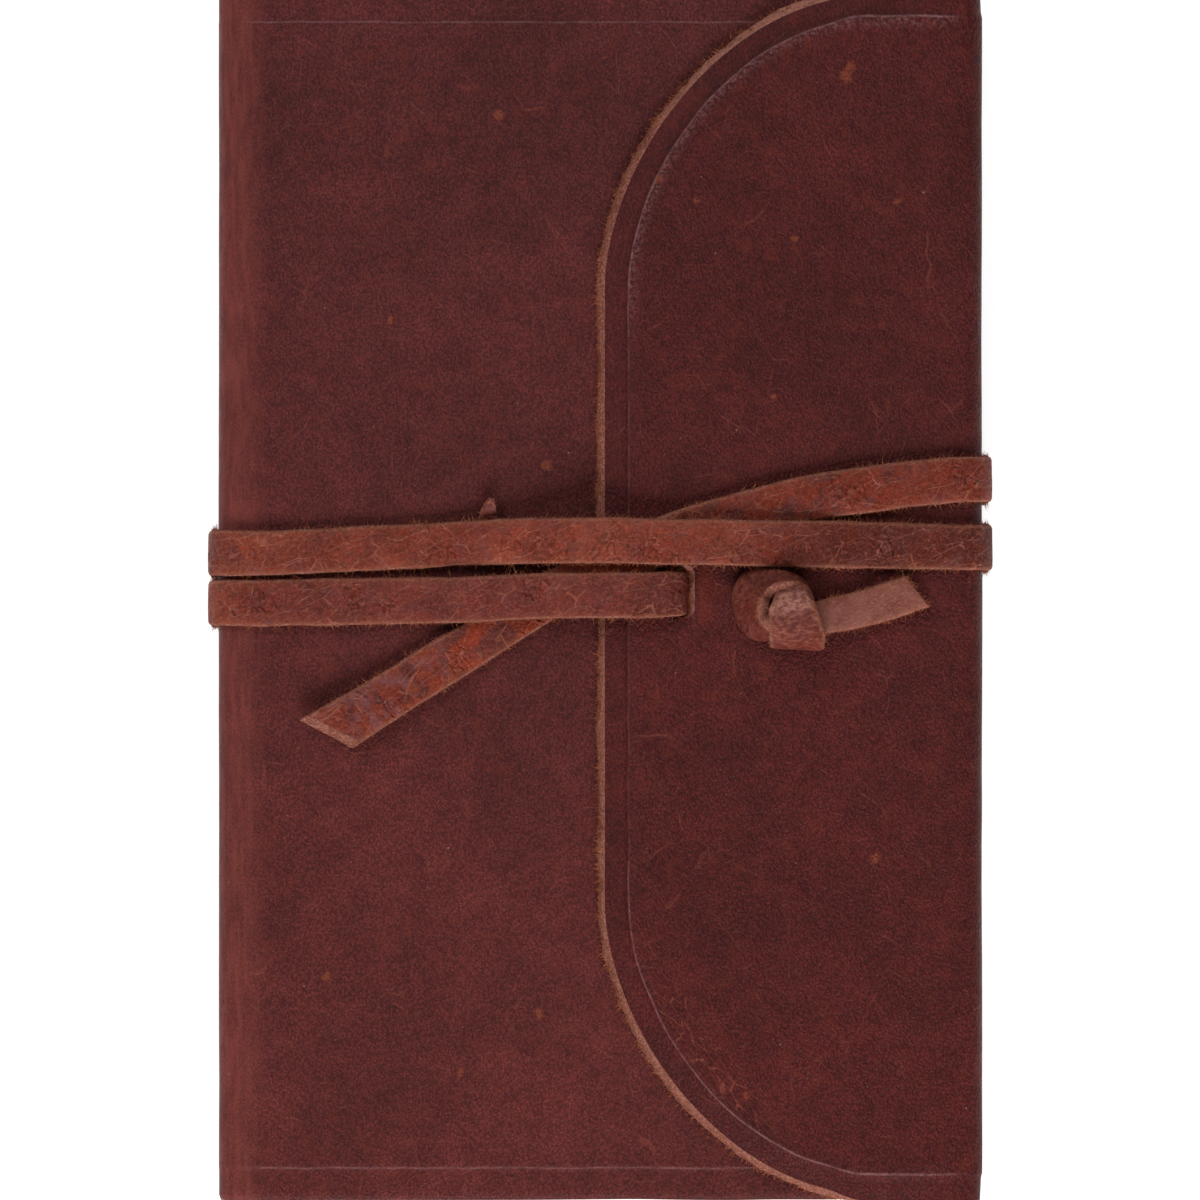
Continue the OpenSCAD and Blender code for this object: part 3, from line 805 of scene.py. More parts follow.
def make_knot(leather, loop_leather, band_leather, raw, flesh, fibre):
    """The strap under the flap, the knot's loop, band and tail, and the loose sliver by the pass."""
    top, front = FLAP_Z / MM, FRONT_Z / MM
    ends = [raw, flesh, fibre]
    knot_strap("strap_bridge", "tie_bridge", top, [
        (15.5, 0.3, -2.3, 1, 0, 0, 8.2), (16.4, 0.3, -2.85, 0.4, 0, -0.9, 8.2),
        (18.5, 0.3, -2.9, 0, 0, -1, 8.2), (30, 0.1, -2.9, 0, 0, -1, 8.2),
        (32.6, 0, -2.8, -0.3, 0, -0.95, 8.2), (33.7, 0, -1.6, -1, 0, -0.3, 8.2),
        (34, 0, 0.4, -1, 0, 0, 8.2),
    ], [leather] + ends, thickness=1.6 * MM, seed=3, fuzz=0)

    # The loop stands on its lower edge: its middle line (x, y), its height and how far it leans out
    loop = np.array([
        (37.8, -0.4, 6.2, 0.1), (37.1, 0.8, 7.2, 0.12), (35.6, 1.4, 7.9, 0.22), (33.7, 1.3, 8.2, 0.4),
        (32.0, 0.4, 8.4, 0.68), (30.7, -0.9, 8.4, 0.74), (30.2, -2.7, 8.3, 0.62),
        (30.5, -4.4, 8.0, 0.5), (31.6, -5.4, 7.6, 0.28), (33.8, -5.7, 7.0, 0.12), (36.2, -5.4, 6.2, 0.1),
    ])
    path = loop[:, :2]
    ahead = tangents(path)
    outward = np.stack([ahead[:, 1], -ahead[:, 0]], 1)
    outward *= np.sign((outward * (path - [33, -1.5])).sum(1))[:, None]
    rows = []
    for (x, y, height, lean), out in zip(loop, outward):
        side_x, side_z = math.sin(lean), math.cos(lean)
        shift = height / 2 * side_x
        rows.append((x + out[0] * shift, y + out[1] * shift, height / 2 * side_z,
                     out[0] * side_z, out[1] * side_z, side_x, height))
    knot_strap("knot_loop", "tie_knot_loop", top - 0.1, rows, [loop_leather] + ends,
               thickness=2.7 * MM, seed=5, fuzz=44, rough=1.8, free=(0.5, 0), longest=1.0 * MM)
    knot_strap("knot_band", "tie_knot_band", top, [
        (35.3, 0.7, 3.4, -0.3, 1, 0.2, 3.6), (35.5, 1.0, 5.8, -0.3, 0.9, 0.5, 4.4),
        (35.3, 0.1, 7.4, -0.3, 0.35, 0.9, 6.2), (35.5, -2.0, 7.9, -0.2, 0.05, 1, 8.6),
        (36.0, -4.6, 7.4, -0.12, -0.25, 0.97, 9.8), (36.4, -7.0, 5.9, 0, -0.6, 0.8, 10.1),
        (36.5, -8.8, 3.4, 0, -0.9, 0.4, 9.9), (36.4, -9.3, 1.0, 0, -1, 0.1, 9.8),
    ], [band_leather] + ends, seed=8, fuzz=14, rough=3.4)
    knot_strap("knot_tail", "tie_knot_tail", top, [
        (37.5, -5.2, 1.6, 0, 0, 1, 6.4), (42.3, -3.9, 1.5, 0, 0.1, 1, 6.6),
        (46, -3.2, 1.2, 0, 0.05, 1, 6.7), (50, -2.2, 1.2, 0, 0, 1, 6.7),
        (54, -0.9, 1.5, 0, -0.1, 1, 6.7), (58.8, 0.7, 2.0, 0, -0.1, 1, 6.9),
    ], [flesh, raw, leather, fibre], slants=(0, -1.2 * MM), free=(0, 1), seed=11, fuzz=90, rough=1.5,
        longest=1.4 * MM)
    knot_strap("strap_sliver", "tie_sliver", front, [
        (-20.6, 9.6, 0.5, 0, 0, 1, 4.6), (-20.6, 12.0, 0.6, 0, 0, 1, 4.2),
        (-20.7, 14.2, 1.0, 0, -0.35, 1, 3.4), (-20.5, 16.2, 1.9, 0, -0.4, 1, 2.5),
        (-20.1, 17.9, 2.5, 0, -0.3, 1, 1.2),
    ], [leather] + ends, thickness=0.7 * MM, seed=14, fuzz=14, rough=0.7, longest=0.9 * MM)


def thickness_of(node):
    low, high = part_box(node)
    return high.z - low.z


def make_lining(suede):
    """The thin lining leather, over the boards and down into the folds."""
    parts = [suede] * 3
    board_t, flap_board_t, lining_t = map(thickness_of, ("front_board", "flap_board", "lining_back"))

    def inside(s, y, h):
        """The hide's face carried down through the hide and the board behind it."""
        on_front = smooth(S_FRONT + 0.3 * MM, S_FRONT + 2.2 * MM, s)
        on_back = smooth(S_BACK + 0.3 * MM, S_BACK + 2.2 * MM, s)
        on_back = on_back * (1 - smooth(S_BACK_FOLD - 2.2 * MM, S_BACK_FOLD - 0.3 * MM, s))
        on_flap = 1 - smooth(S_FLAP_FOLD - 2.2 * MM, S_FLAP_FOLD - 0.3 * MM, s)
        depth = board_t * (on_front + on_back) + flap_board_t * on_flap
        return on_hide(s, y, h - HIDE_T - depth)

    y = even(-HALF_H + MARGIN, HALF_H - MARGIN, 3 * MM)
    front_end = S_FRONT + 2 * FOLD_X - 1 * MM
    for name, first, last, where, nodes in (
        ("lining_over_front", MID_SPINE, front_end, "front", ("lining_front", "lining_spine")),
        ("lining_over_spine", MID_BACK, MID_SPINE, "spine", ("lining_back", "lining_spine")),
        ("lining_over_fore_edge", MID_FORE, MID_BACK, "fore", ("lining_back", "lining_fore_edge")),
    ):
        flat, faces = grid(along_hide(first, last), y)
        piece = shell(name, flat, faces, inside, lining_t, parts, rim_steps=2)
        join(piece, where, "lining_leather", *nodes)
    window = rounded_box((SLOT_X + SLIT_X) / 2 - FLAP_X - 0.6 * MM, 0.5 * MM,
                         (SLIT_X - SLOT_X) / 2 + 2 * MM, TIE_W / 2 + 0.9 * MM, 1 * MM, 1.5 * MM)
    flat, faces = flap_flat(MARGIN + 0.05 * MM, EDGE_STEPS[:4], [window], MID_FORE)
    flap = shell("lining_over_flap", flat, faces, inside, lining_t, parts, rim_steps=2)
    join(flap, "flap", "lining_leather", "lining_flap", "lining_fore_edge")


def panel(x0, x1, y0, y1, corner, step=4 * MM):
    """A flat rectangle with rounded corners as triangles, with rings near its edge."""
    x, y, half_x, half_y = (x0 + x1) / 2, (y0 + y1) / 2, (x1 - x0) / 2, (y1 - y0) / 2
    rings = [rounded_box(x, y, half_x - d, half_y - d, corner - d / 2, 1.4 * MM)
             for d in (0, 0.25 * MM, 0.7 * MM, 1.4 * MM)]
    inner = np.meshgrid(even(x0 + 3 * MM, x1 - 3 * MM, step), even(y0 + 3 * MM, y1 - 3 * MM, step))
    everywhere = lambda s, t: np.ones(len(s), bool)
    return triangulated([rings[0]], [np.vstack([ring, ring[:1]]) for ring in rings[1:]],
                        np.stack(inner, -1).reshape(-1, 2), everywhere)


def facing_up(z):
    return lambda x, y, h: np.stack([x, y, z + h], -1)


def facing_down(z):
    return lambda x, y, h: np.stack([-x, y, z - h], -1)


def facing_spine(x):
    return lambda z, y, h: np.stack([x - h, y, z], -1)


def make_pockets(suede):
    """Leather sleeves over the outer part of the notebook's covers, turned down at three edges."""
    thickness = 0.8 * MM
    for body in ("back", "front"):
        node = f"{body}_pocket"
        low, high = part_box(node)
        if body == "front":
            place, mouth, outer = facing_down(low.z), -low.x, -high.x
        else:
            place, mouth, outer = facing_up(high.z), low.x, high.x

        def turned(x, y):
            edge = np.minimum(np.abs(outer - x), high.y - np.abs(y))
            near_mouth = bell(x, mouth, 1.2 * MM)
            return (-(high.z - low.z - thickness) * (1 - smooth(0.3 * MM, 1.7 * MM, edge))
                    - 0.12 * MM * near_mouth + 0.05 * MM * waves(x, y, 20 * MM))

        flat, faces = panel(min(mouth, outer), max(mouth, outer), low.y, high.y, 4 * MM, 3 * MM)
        piece = shell(f"pocket_{body}", flat, faces, place, thickness, [suede] * 3, turned, rim_steps=3)
        fix(piece, body, "lining_leather", node)


def make_notebook(card, paper):
    """The notebook's covers, the strip along its spine, and its eight sewn gatherings."""
    for body in ("back", "front"):
        node = f"notebook_{body}_cover"
        low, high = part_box(node)
        rounding = lambda x, y: -0.22 * MM * (1 - smooth(0, 0.9 * MM, high.y - np.abs(y)))
        place = facing_up(high.z) if body == "back" else facing_down(low.z)
        flat, faces = panel(low.x, high.x, low.y, high.y, 5 * MM)
        cover = shell(f"book_cover_{body}", flat, faces, place, high.z - low.z, [card] * 3, rounding,
                      rim_steps=3)
        fix(cover, body, "notebook_card", node)
    low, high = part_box("notebook_spine")
    flat, faces = panel(low.z, high.z, low.y, high.y, 2.4 * MM)
    bow = lambda z, y: 0.25 * MM * (1 - ((z - (low.z + high.z) / 2) / (high.z - low.z) * 2) ** 2)
    strip = shell("book_spine", flat, faces, facing_spine(low.x + 0.25 * MM), 0.9 * MM, [card] * 3, bow,
                  rim_steps=2)
    fix(strip, "spine", "notebook_card", "notebook_spine")
    for number in range(1, 9):
        node = f"signature_{number}"
        piece = gathering(f"gathering_{number}", *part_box(node), paper)
        fix(piece, "back" if number <= 4 else "front", "pages", node)


def gathering(name, low, high, paper):
    """Folded sheets one inside another, each with its fold on the spine side."""
    sheets = 6
    middle, half = (low.z + high.z) / 2, (high.z - low.z) / 2
    leaf = half / sheets * 0.8
    points, faces = [], []
    for k in range(sheets):
        outer = half * (1 - k / sheets) - 0.01 * MM
        inner = outer - leaf
        fore = high.x - rng.uniform(0, 0.35) * MM - 0.02 * MM * k
        tail, head = low.y + rng.uniform(0, 0.25) * MM, high.y - rng.uniform(0, 0.25) * MM
        bend = low.x + half
        angles = np.linspace(math.pi / 2, 3 * math.pi / 2, 7)
        runs = np.array([fore, (fore + bend) / 2])
        profile = []
        for radius in (outer, inner):
            line = [(x, middle + radius) for x in runs]
            line += [(bend + radius * math.cos(a), middle + radius * math.sin(a)) for a in angles]
            line += [(x, middle - radius) for x in runs[::-1]]
            profile.append(line)
        loop = profile[0] + profile[1][::-1]
        base, count = len(points), len(loop)
        for y in (tail, head):
            points += [(x, y, z) for x, z in loop]
        for j in range(count):
            i = (j + 1) % count
            faces.append([base + j, base + i, base + count + i, base + count + j])
        for j in range(count // 2 - 1):
            i = count - 1 - j
            faces.append([base + j, base + i, base + i - 1, base + j + 1])
            faces.append([base + count + k for k in (j + 1, i - 1, i, j)])
    return finish_mesh(name, np.array(points), faces, [paper], sharp_angle=40)


# ---------------------------------------------------------------- materials
class Paint:
    """A material's nodes, with one short call for each kind of step. Lengths are in millimetres."""

    def __init__(self, name, source="rest", **fixed):
        """source says where places come from. fixed are the shader's own values, _ for a space."""
        self.material = bpy.data.materials.new(name)
        self.material.use_nodes = True
        self.nodes = self.material.node_tree.nodes
        self.links = self.material.node_tree.links
        self.shader = self.nodes["Principled BSDF"]
        for key, value in fixed.items():
            self.shader.inputs[key.replace("_", " ")].default_value = value
        if source == "rest":
            start = self.nodes.new("ShaderNodeAttribute")
            start.attribute_name = "rest"
            self.mm = self.moved(start.outputs["Vector"], (1 / MM,) * 3)
            edge = self.nodes.new("ShaderNodeAttribute")
            edge.attribute_name = "edge"
            self.edge = edge.outputs["Fac"]
        else:
            start = self.nodes.new("ShaderNodeTexCoord")
            self.mm = self.moved(start.outputs["Object"], (1 / MM,) * 3)

    def feed(self, socket, value):
        if isinstance(value, bpy.types.NodeSocket):
            self.links.new(value, socket)
        elif isinstance(value, tuple) and len(value) == 3 and socket.type == "RGBA":
            socket.default_value = (*value, 1)
        else:
            socket.default_value = value

    def moved(self, vector, scale, turn=0, place=(0, 0, 0), kind="POINT"):
        node = self.nodes.new("ShaderNodeMapping")
        node.vector_type = kind
        self.feed(node.inputs["Vector"], vector)
        node.inputs["Scale"].default_value = scale
        node.inputs["Rotation"].default_value = (0, 0, math.radians(turn))
        node.inputs["Location"].default_value = place
        return node.outputs["Vector"]

    def noise(self, size, detail=3, rough=0.55, stretch=None, place=(0, 0, 0)):
        """Soft noise, with its coordinates scaled by stretch and moved to another place in it."""
        node = self.nodes.new("ShaderNodeTexNoise")
        at = self.mm
        if stretch or any(place):
            at = self.moved(at, stretch or (1, 1, 1), place=place)
        self.feed(node.inputs["Vector"], at)
        node.inputs["Scale"].default_value = 1 / size
        node.inputs["Detail"].default_value = detail
        node.inputs["Roughness"].default_value = rough
        return node.outputs["Fac"]

    def cells(self, size, feature="F1", at=None):
        node = self.nodes.new("ShaderNodeTexVoronoi")
        node.feature = feature
        self.feed(node.inputs["Vector"], self.mm if at is None else at)
        node.inputs["Scale"].default_value = 1 / size
        return node.outputs["Distance"]

    def sum(self, kind, a, b=0.0):
        node = self.nodes.new("ShaderNodeMath")
        node.operation = kind
        for socket, value in zip(node.inputs, (a, b, 0.0)):
            self.feed(socket, value)
        return node.outputs[0]

    def chain(self, kind, values):
        total = values[0]
        for value in values[1:]:
            total = self.sum(kind, total, value)
        return total

    def times(self, *values):
        return self.chain("MULTIPLY", values)

    def plus(self, *values):
        return self.chain("ADD", values)

    def span(self, value, low, high, to_low=0.0, to_high=1.0):
        """value from low to high becomes to_low to to_high, and stays within them."""
        node = self.nodes.new("ShaderNodeMapRange")
        node.interpolation_type = "SMOOTHSTEP"
        for socket, number in zip(node.inputs, (value, low, high, to_low, to_high)):
            self.feed(socket, number)
        return node.outputs[0]

    def mix(self, share, a, b, kind="MIX"):
        node = self.nodes.new("ShaderNodeMix")
        node.data_type = "RGBA"
        node.blend_type = kind
        self.feed(node.inputs[0], share)
        self.feed(node.inputs[6], a)
        self.feed(node.inputs[7], b)
        return node.outputs[2]

    def coat(self, colour, tint, *shares):
        """A tint over a colour, as strongly as the product of the shares."""
        return self.mix(self.times(*shares), colour, tint)

    def shaded(self, colour, *shades):
        return self.mix(1.0, colour, self.times(*shades), "MULTIPLY")

    def part(self, axis):
        node = self.nodes.new("ShaderNodeSeparateXYZ")
        self.feed(node.inputs[0], self.mm)
        return node.outputs[axis]

    def warped(self, size, amount, at=None):
        """Coordinates pushed about by noise."""
        at = self.mm if at is None else at
        node = self.nodes.new("ShaderNodeTexNoise")
        self.feed(node.inputs["Vector"], at)
        node.inputs["Scale"].default_value = 1 / size
        node.inputs["Detail"].default_value = 2
        shift = self.nodes.new("ShaderNodeVectorMath")
        shift.operation = "MULTIPLY_ADD"
        self.feed(shift.inputs[0], node.outputs["Color"])
        shift.inputs[1].default_value = (2 * amount,) * 3
        self.feed(shift.inputs[2], at)
        return shift.outputs[0]

    def scratches(self, size, width, turn, stretch, cover, place=(0, 0, 0)):
        """Thin broken lines, stretched in the direction turn. cover is the share of them left out."""
        at = self.moved(self.warped(size * 0.9, size * 0.12), (stretch, 1, 1), turn, place, "TEXTURE")
        line = self.span(self.cells(size, "DISTANCE_TO_EDGE", at), 0, width / size, 1, 0)
        gaps = self.span(self.noise(size * 0.8, 2, place=place), cover, cover + 0.14)
        return self.times(line, gaps)

    def spot(self, s, y, size):
        """A scuff's mask around one place on the surface."""
        rough = 2.0
        node = self.nodes.new("ShaderNodeVectorMath")
        node.operation = "DISTANCE"
        flat = self.moved(self.warped(rough, rough * 0.45), (1, 1, 0))
        self.feed(node.inputs[0], flat)
        node.inputs[1].default_value = (s, y, 0)
        near = self.span(node.outputs["Value"], size * 0.3, size, 1, 0)
        return self.times(near, self.span(self.noise(rough * 0.3, 3), 0.34, 0.52))

    def finish(self, colour, height=None, roughness=None, depth=0.1):
        self.feed(self.shader.inputs["Base Color"], colour)
        if roughness is not None:
            self.feed(self.shader.inputs["Roughness"], roughness)
        if height is not None:
            bump = self.nodes.new("ShaderNodeBump")
            bump.inputs["Strength"].default_value = 1
            bump.inputs["Distance"].default_value = depth * MM
            self.feed(bump.inputs["Height"], height)
            self.links.new(bump.outputs["Normal"], self.shader.inputs["Normal"])
        return self.material


def hide_paint():
    """Waxy oxblood leather: mottled, finely pebbled, with pale hairlines, a painted highlight along its
    ridges and painted shade in the flap's bare margin.
    """
    p = Paint("hide_leather", Roughness=0.5, Specular_IOR_Level=0.13)
    s, y = p.part(0), p.part(1)
    tail = p.span(y, 105, -110)
    on_flap = p.span(s, 100, 80)
    base = p.mix(on_flap, p.mix(tail, (0.087, 0.0164, 0.0163), (0.107, 0.0190, 0.0174)),
                 p.mix(tail, (0.077, 0.0114, 0.0110), (0.082, 0.0111, 0.0101)))
    cloudy = p.span(p.noise(34, 3, 0.6), 0.3, 0.7, 0.86, 1.14)
    blotchy = p.span(p.noise(6.5, 4, 0.65), 0.28, 0.72, 0.84, 1.16)
    pebble = p.cells(0.44, "F1", p.warped(2.5, 0.4, p.moved(p.mm, (1, 0.75, 1), 35)))
    fine = p.noise(0.36, 4, 0.65)
    speckled = p.times(p.span(fine, 0.3, 0.7, 0.6, 1.38), p.span(pebble, 0.15, 0.75, 1.18, 0.66))
    colour = p.shaded(base, cloudy, blotchy, speckled)
    warm = p.times(p.span(p.noise(3.6, 5, 0.7, place=(9, 5, 0)), 0.48, 0.72),
                   p.span(p.noise(22, 2, place=(50, 9, 0)), 0.38, 0.62, 0.25, 1))
    colour = p.coat(colour, (0.130, 0.0205, 0.0110), warm, 0.5)
    spine = p.times(p.span(s, 252, 262), p.span(s, 274.5, 267.5))
    streaks = p.span(p.noise(1.1, 3, stretch=(1, 0.12, 1)), 0.35, 0.7)
    colour = p.coat(colour, (0.21, 0.046, 0.036), spine, p.plus(0.25, p.times(streaks, 0.4)))
    bands = p.plus(p.times(p.span(s, 244, 250), p.span(s, 262, 257)),
                   p.times(p.span(s, 99, 95), p.span(s, 72, 76)))
    colour = p.coat(colour, (0.17, 0.036, 0.028), bands, 0.16)
    wobble = p.span(p.noise(9, 3), 0.3, 0.7, -0.1, 0.1)
    depth = p.plus(p.edge, wobble)
    ridge_at = p.span(on_flap, 0, 1, MARGIN / MM, RIDGE / MM)
    off = p.sum("ABSOLUTE", p.sum("SUBTRACT", depth, ridge_at))
    upper = p.span(y, 40, 62)
    on_sheet = p.plus(p.times(on_flap, p.span(s, 69, 63)), p.span(s, 268, 272))
    corners = p.plus(p.span(y, 42, 62), p.span(y, -42, -62))
    broken = p.span(p.noise(2.2, 4, 0.7), 0.36, 0.62, 0.35, 1)
    # Painted highlight: a broken pale line along the ridges over the boards' edges, and a halo just inside
    # the flap's ridge, stronger towards the head.
    line = p.times(p.span(off, 0.02, 0.3, 1, 0), on_sheet, broken)
    inward = p.sum("SUBTRACT", depth, ridge_at)
    painted_ridge_halo = p.times(p.span(inward, -0.2, 0.1), p.span(inward, 0.1, 2.6, 1, 0),
                   p.span(p.noise(0.8, 4, 0.75), 0.44, 0.64), on_flap, on_sheet)
    # Painted shade: the flap's bare margin outside its ridge is darkened like a hollow.
    outside = p.times(p.span(p.sum("SUBTRACT", ridge_at, depth), -0.1, 0.5), on_sheet, on_flap)
    colour = p.coat(colour, (0.045, 0.009, 0.009), outside, 0.14)
    # How strong the painted highlight is, and its pale lilac colour.
    strength = p.mix(on_flap, (0.38, 0.38, 0.38), p.span(corners, 0, 1, 0.22, 0.62))
    painted_ridge_highlight = p.plus(p.times(line, strength), p.times(painted_ridge_halo, p.span(upper, 0, 1, 0.06, 0.5)))
    colour = p.mix(painted_ridge_highlight, colour, (0.270, 0.125, 0.130))
    by_ridge = p.times(p.span(inward, 0.2, 1), p.span(inward, 9, 4), p.span(y, -70, -77), on_flap,
                       p.span(s, 38, 26))
    veins = p.plus(
        p.times(p.scratches(7, 0.10, 75, 2.6, 0.5), 0.6),
        p.times(p.scratches(3.6, 0.08, -35, 2.2, 0.54, (31, 7, 0)), 0.55),
        p.times(p.scratches(12, 0.13, -60, 3.0, 0.5, (3, 57, 0)), 0.8),
        p.times(p.scratches(1.3, 0.09, -52, 5, 0.3, (17, 9, 0)), by_ridge, 1.5),
    )
    colour = p.coat(colour, (0.23, 0.055, 0.036), veins, 0.42)
    flecks = p.times(p.span(p.cells(3.1), 0.08, 0.03), p.span(p.noise(2.3, 1), 0.6, 0.66))
    colour = p.coat(colour, (0.34, 0.18, 0.14), flecks, 0.6)
    flap_marks = ((46.7, 97, 1.5), (47.3, 99, 1.4), (12, 78, 1.2), (19, 74, 0.9), (37, 67, 1.0),
                  (56, 74, 1.0), (28, -92, 1.0), (52, -48, 1.1), (33, 38, 0.9))
    front_marks = ((-10.5, -77, 1.3), (-9, 25, 1.4), (-18, 90, 1.3), (-50, -70, 1.1), (-38, 52, 0.9),
                   (-25, -88, 1.0))
    scuffs = p.plus(*[
        p.spot(x + start, across, size)
        for start, marks in ((-FLAP_X / MM, flap_marks), ((S_FRONT + FOLD_X) / MM, front_marks))
        for x, across, size in marks
    ])
    colour = p.coat(colour, (0.27, 0.062, 0.024), scuffs, 0.5)
    slot_s = (SLOT_X - FLAP_X) / MM
    rubbed = p.times(p.span(s, slot_s + 1.2, slot_s + 2.2), p.span(s, slot_s + 5.5, slot_s + 2.4),
                     p.span(y, -6.5, -3), p.span(y, 7.5, 4.5))
    colour = p.coat(colour, (0.150, 0.021, 0.012), rubbed, 0.5)
    grain = p.plus(p.times(pebble, p.span(on_flap, 0, 1, -0.55, -0.9)), p.times(fine, 0.7),
                   p.times(p.noise(2.4, 4, 0.6), 0.6),
                   p.times(veins, -0.3), p.times(p.noise(13, 2), 1.1),
                   p.times(painted_ridge_halo, p.times(p.noise(0.9, 2), 0.8)))
    gloss = p.plus(p.span(p.noise(5, 4, 0.6), 0.3, 0.7, 0.42, 0.6), p.times(veins, 0.08),
                   p.times(scuffs, 0.1))
    return p.finish(colour, grain, gloss, 0.2)


def strap_paint(name, ends, rib_highlight_share=0.0, glare=0.0):
    """The tie's grain side. ends are the places along it, in mm, where its ten pieces begin and end.

    It is muted on the lower pass and orange at the tip. Painted shade darkens it where the upper pass
    comes over the fore-edge, on the diagonal run and where the lower pass goes down into the slot; a
    painted lighter stretch lies further along the upper pass, and lilac patches of painted sheen grow
    stronger on the tip. The knot's paints also get painted highlights on their ribs and, on the band, a
    painted glare where it turns over its top.
    """
    low_end, tip_start = ends[1], ends[8] + 40
    p = Paint(name, Roughness=0.55, Specular_IOR_Level=0.16)
    u = p.part(0)
    base = p.mix(p.span(p.noise(16, 3, 0.6), 0.35, 0.65), (0.147, 0.0193, 0.0092), (0.198, 0.0350, 0.0168))
    base = p.coat(base, (0.118, 0.0185, 0.0155), p.span(u, low_end + 10, low_end - 10), 0.55)
    base = p.coat(base, (0.215, 0.0245, 0.0065), p.span(u, tip_start - 60, tip_start), 0.75)
    base = p.coat(base, (0.130, 0.022, 0.017), p.span(u, ends[9] + 18, ends[9] + 34), 0.5)
    # Painted shade: darker where the upper pass comes over the fore-edge, where the lower pass leaves the
    # slot and on the diagonal run; painted light: a lighter stretch further along the upper pass. The
    # stretches over the fore-edge and on the diagonal are also given a deeper orange.
    painted_shade_over_edge = p.times(p.span(u, ends[4], ends[4] + 6), p.span(u, ends[4] + 62, ends[4] + 42))
    painted_shade_by_slot = p.span(u, 18, 8)
    lit = p.times(p.span(u, ends[4] + 45, ends[4] + 65), p.span(u, ends[4] + 130, ends[4] + 100))
    diagonal = p.times(p.span(u, ends[8], ends[8] + 6), p.span(u, tip_start + 46, tip_start + 34))
    painted_light_and_shade = p.sum("SUBTRACT", 1.0, p.plus(p.times(painted_shade_over_edge, 0.47), p.times(diagonal, 0.14),
                                        p.times(painted_shade_by_slot, 0.24), p.times(lit, -0.12)))
    deep = p.times(p.plus(painted_shade_over_edge, diagonal), 0.8)
    base = p.mix(deep, base, (0.172, 0.0210, 0.0085))
    fine = p.noise(0.5, 4, 0.65)
    pebble = p.cells(0.7, "F1", p.warped(1.6, 0.4))
    speckled = p.times(p.span(fine, 0.3, 0.7, 0.74, 1.26), p.span(pebble, 0.15, 0.8, 1.13, 0.82),
                       p.span(p.noise(5, 4, 0.65), 0.3, 0.7, 0.86, 1.16))
    colour = p.shaded(base, painted_light_and_shade, speckled)
    toward_tip = p.span(u, tip_start - 60, tip_start + 20, 0.35, 1)
    dark = p.times(p.span(p.noise(5.5, 4, 0.6), 0.47, 0.6), toward_tip)
    colour = p.coat(colour, (0.052, 0.013, 0.013), dark, 0.72)
    # Painted sheen: lilac patches all along the tie, stronger on the tip.
    painted_lilac_sheen = p.times(p.span(p.noise(3.0, 4, 0.7, place=(40, 13, 0)), 0.46, 0.62),
                    p.span(u, ends[9] + 8, ends[9] + 30, 0.3, 1.1))
    colour = p.coat(colour, (0.155, 0.062, 0.068), painted_lilac_sheen, 0.5)
    net = p.plus(
        p.times(p.scratches(1.1, 0.07, 40, 2.0, 0.42), 0.8),
        p.times(p.scratches(0.8, 0.06, -35, 1.6, 0.42, (11, 3, 0)), 0.7),
        p.times(p.scratches(3.0, 0.10, 20, 3.0, 0.40, (5, 21, 0)), 1.2),
    )
    coarse = p.times(p.cells(1.5, "DISTANCE_TO_EDGE", p.warped(2.2, 0.7, p.moved(p.mm, (1, 0.7, 1), 25))),
                     p.span(p.noise(11, 2, place=(7, 90, 0)), 0.5, 0.62))
    colour = p.coat(colour, (0.36, 0.110, 0.068), net, 0.12 if rib_highlight_share else 0.42)
    # Painted highlights on the knot: pale orange on its ribs, and a pale glare where the band turns over
    # its top.
    if rib_highlight_share:
        ribs = p.noise(0.5, 3, 0.6, stretch=(0.9, 0.35, 1))
        painted_rib_highlight = p.times(p.span(ribs, 0.4, 0.66), p.span(p.noise(4, 2), 0.3, 0.7, 0.3, 1))
        painted_glare_on_top = p.times(p.span(u, 3.5, 5), p.span(u, 8.5, 6.5), p.span(ribs, 0.36, 0.62, 0.4, 1.3))
        colour = p.coat(colour, (0.38, 0.125, 0.078), painted_rib_highlight, rib_highlight_share)
        colour = p.coat(colour, (0.42, 0.200, 0.150), painted_glare_on_top, glare)
    # The worn cut edges' colour, lighter on the side towards the head on the passes, which faces away from
    # the key light: partly the edges' own colour, partly painted light.
    worn = p.times(p.edge, p.span(p.noise(0.9, 4, 0.75), 0.3, 0.6))
    rim = p.mix(p.span(p.part(1), -1, 1), (0.46, 0.170, 0.100), (0.30, 0.085, 0.034))
    colour = p.coat(colour, rim, worn, 0.75)
    grain = p.plus(p.times(pebble, -0.5), p.times(net, 0.3), p.times(p.noise(1.9, 4, 0.6), 1.0),
                   p.times(fine, 0.5), p.times(p.span(coarse, 0, 0.25), 1.3))
    if rib_highlight_share:
        grain = p.plus(grain, p.times(ribs, 1.4))
    return p.finish(colour, grain, p.span(p.noise(3, 3), 0.3, 0.7, 0.4, 0.62), 0.24)


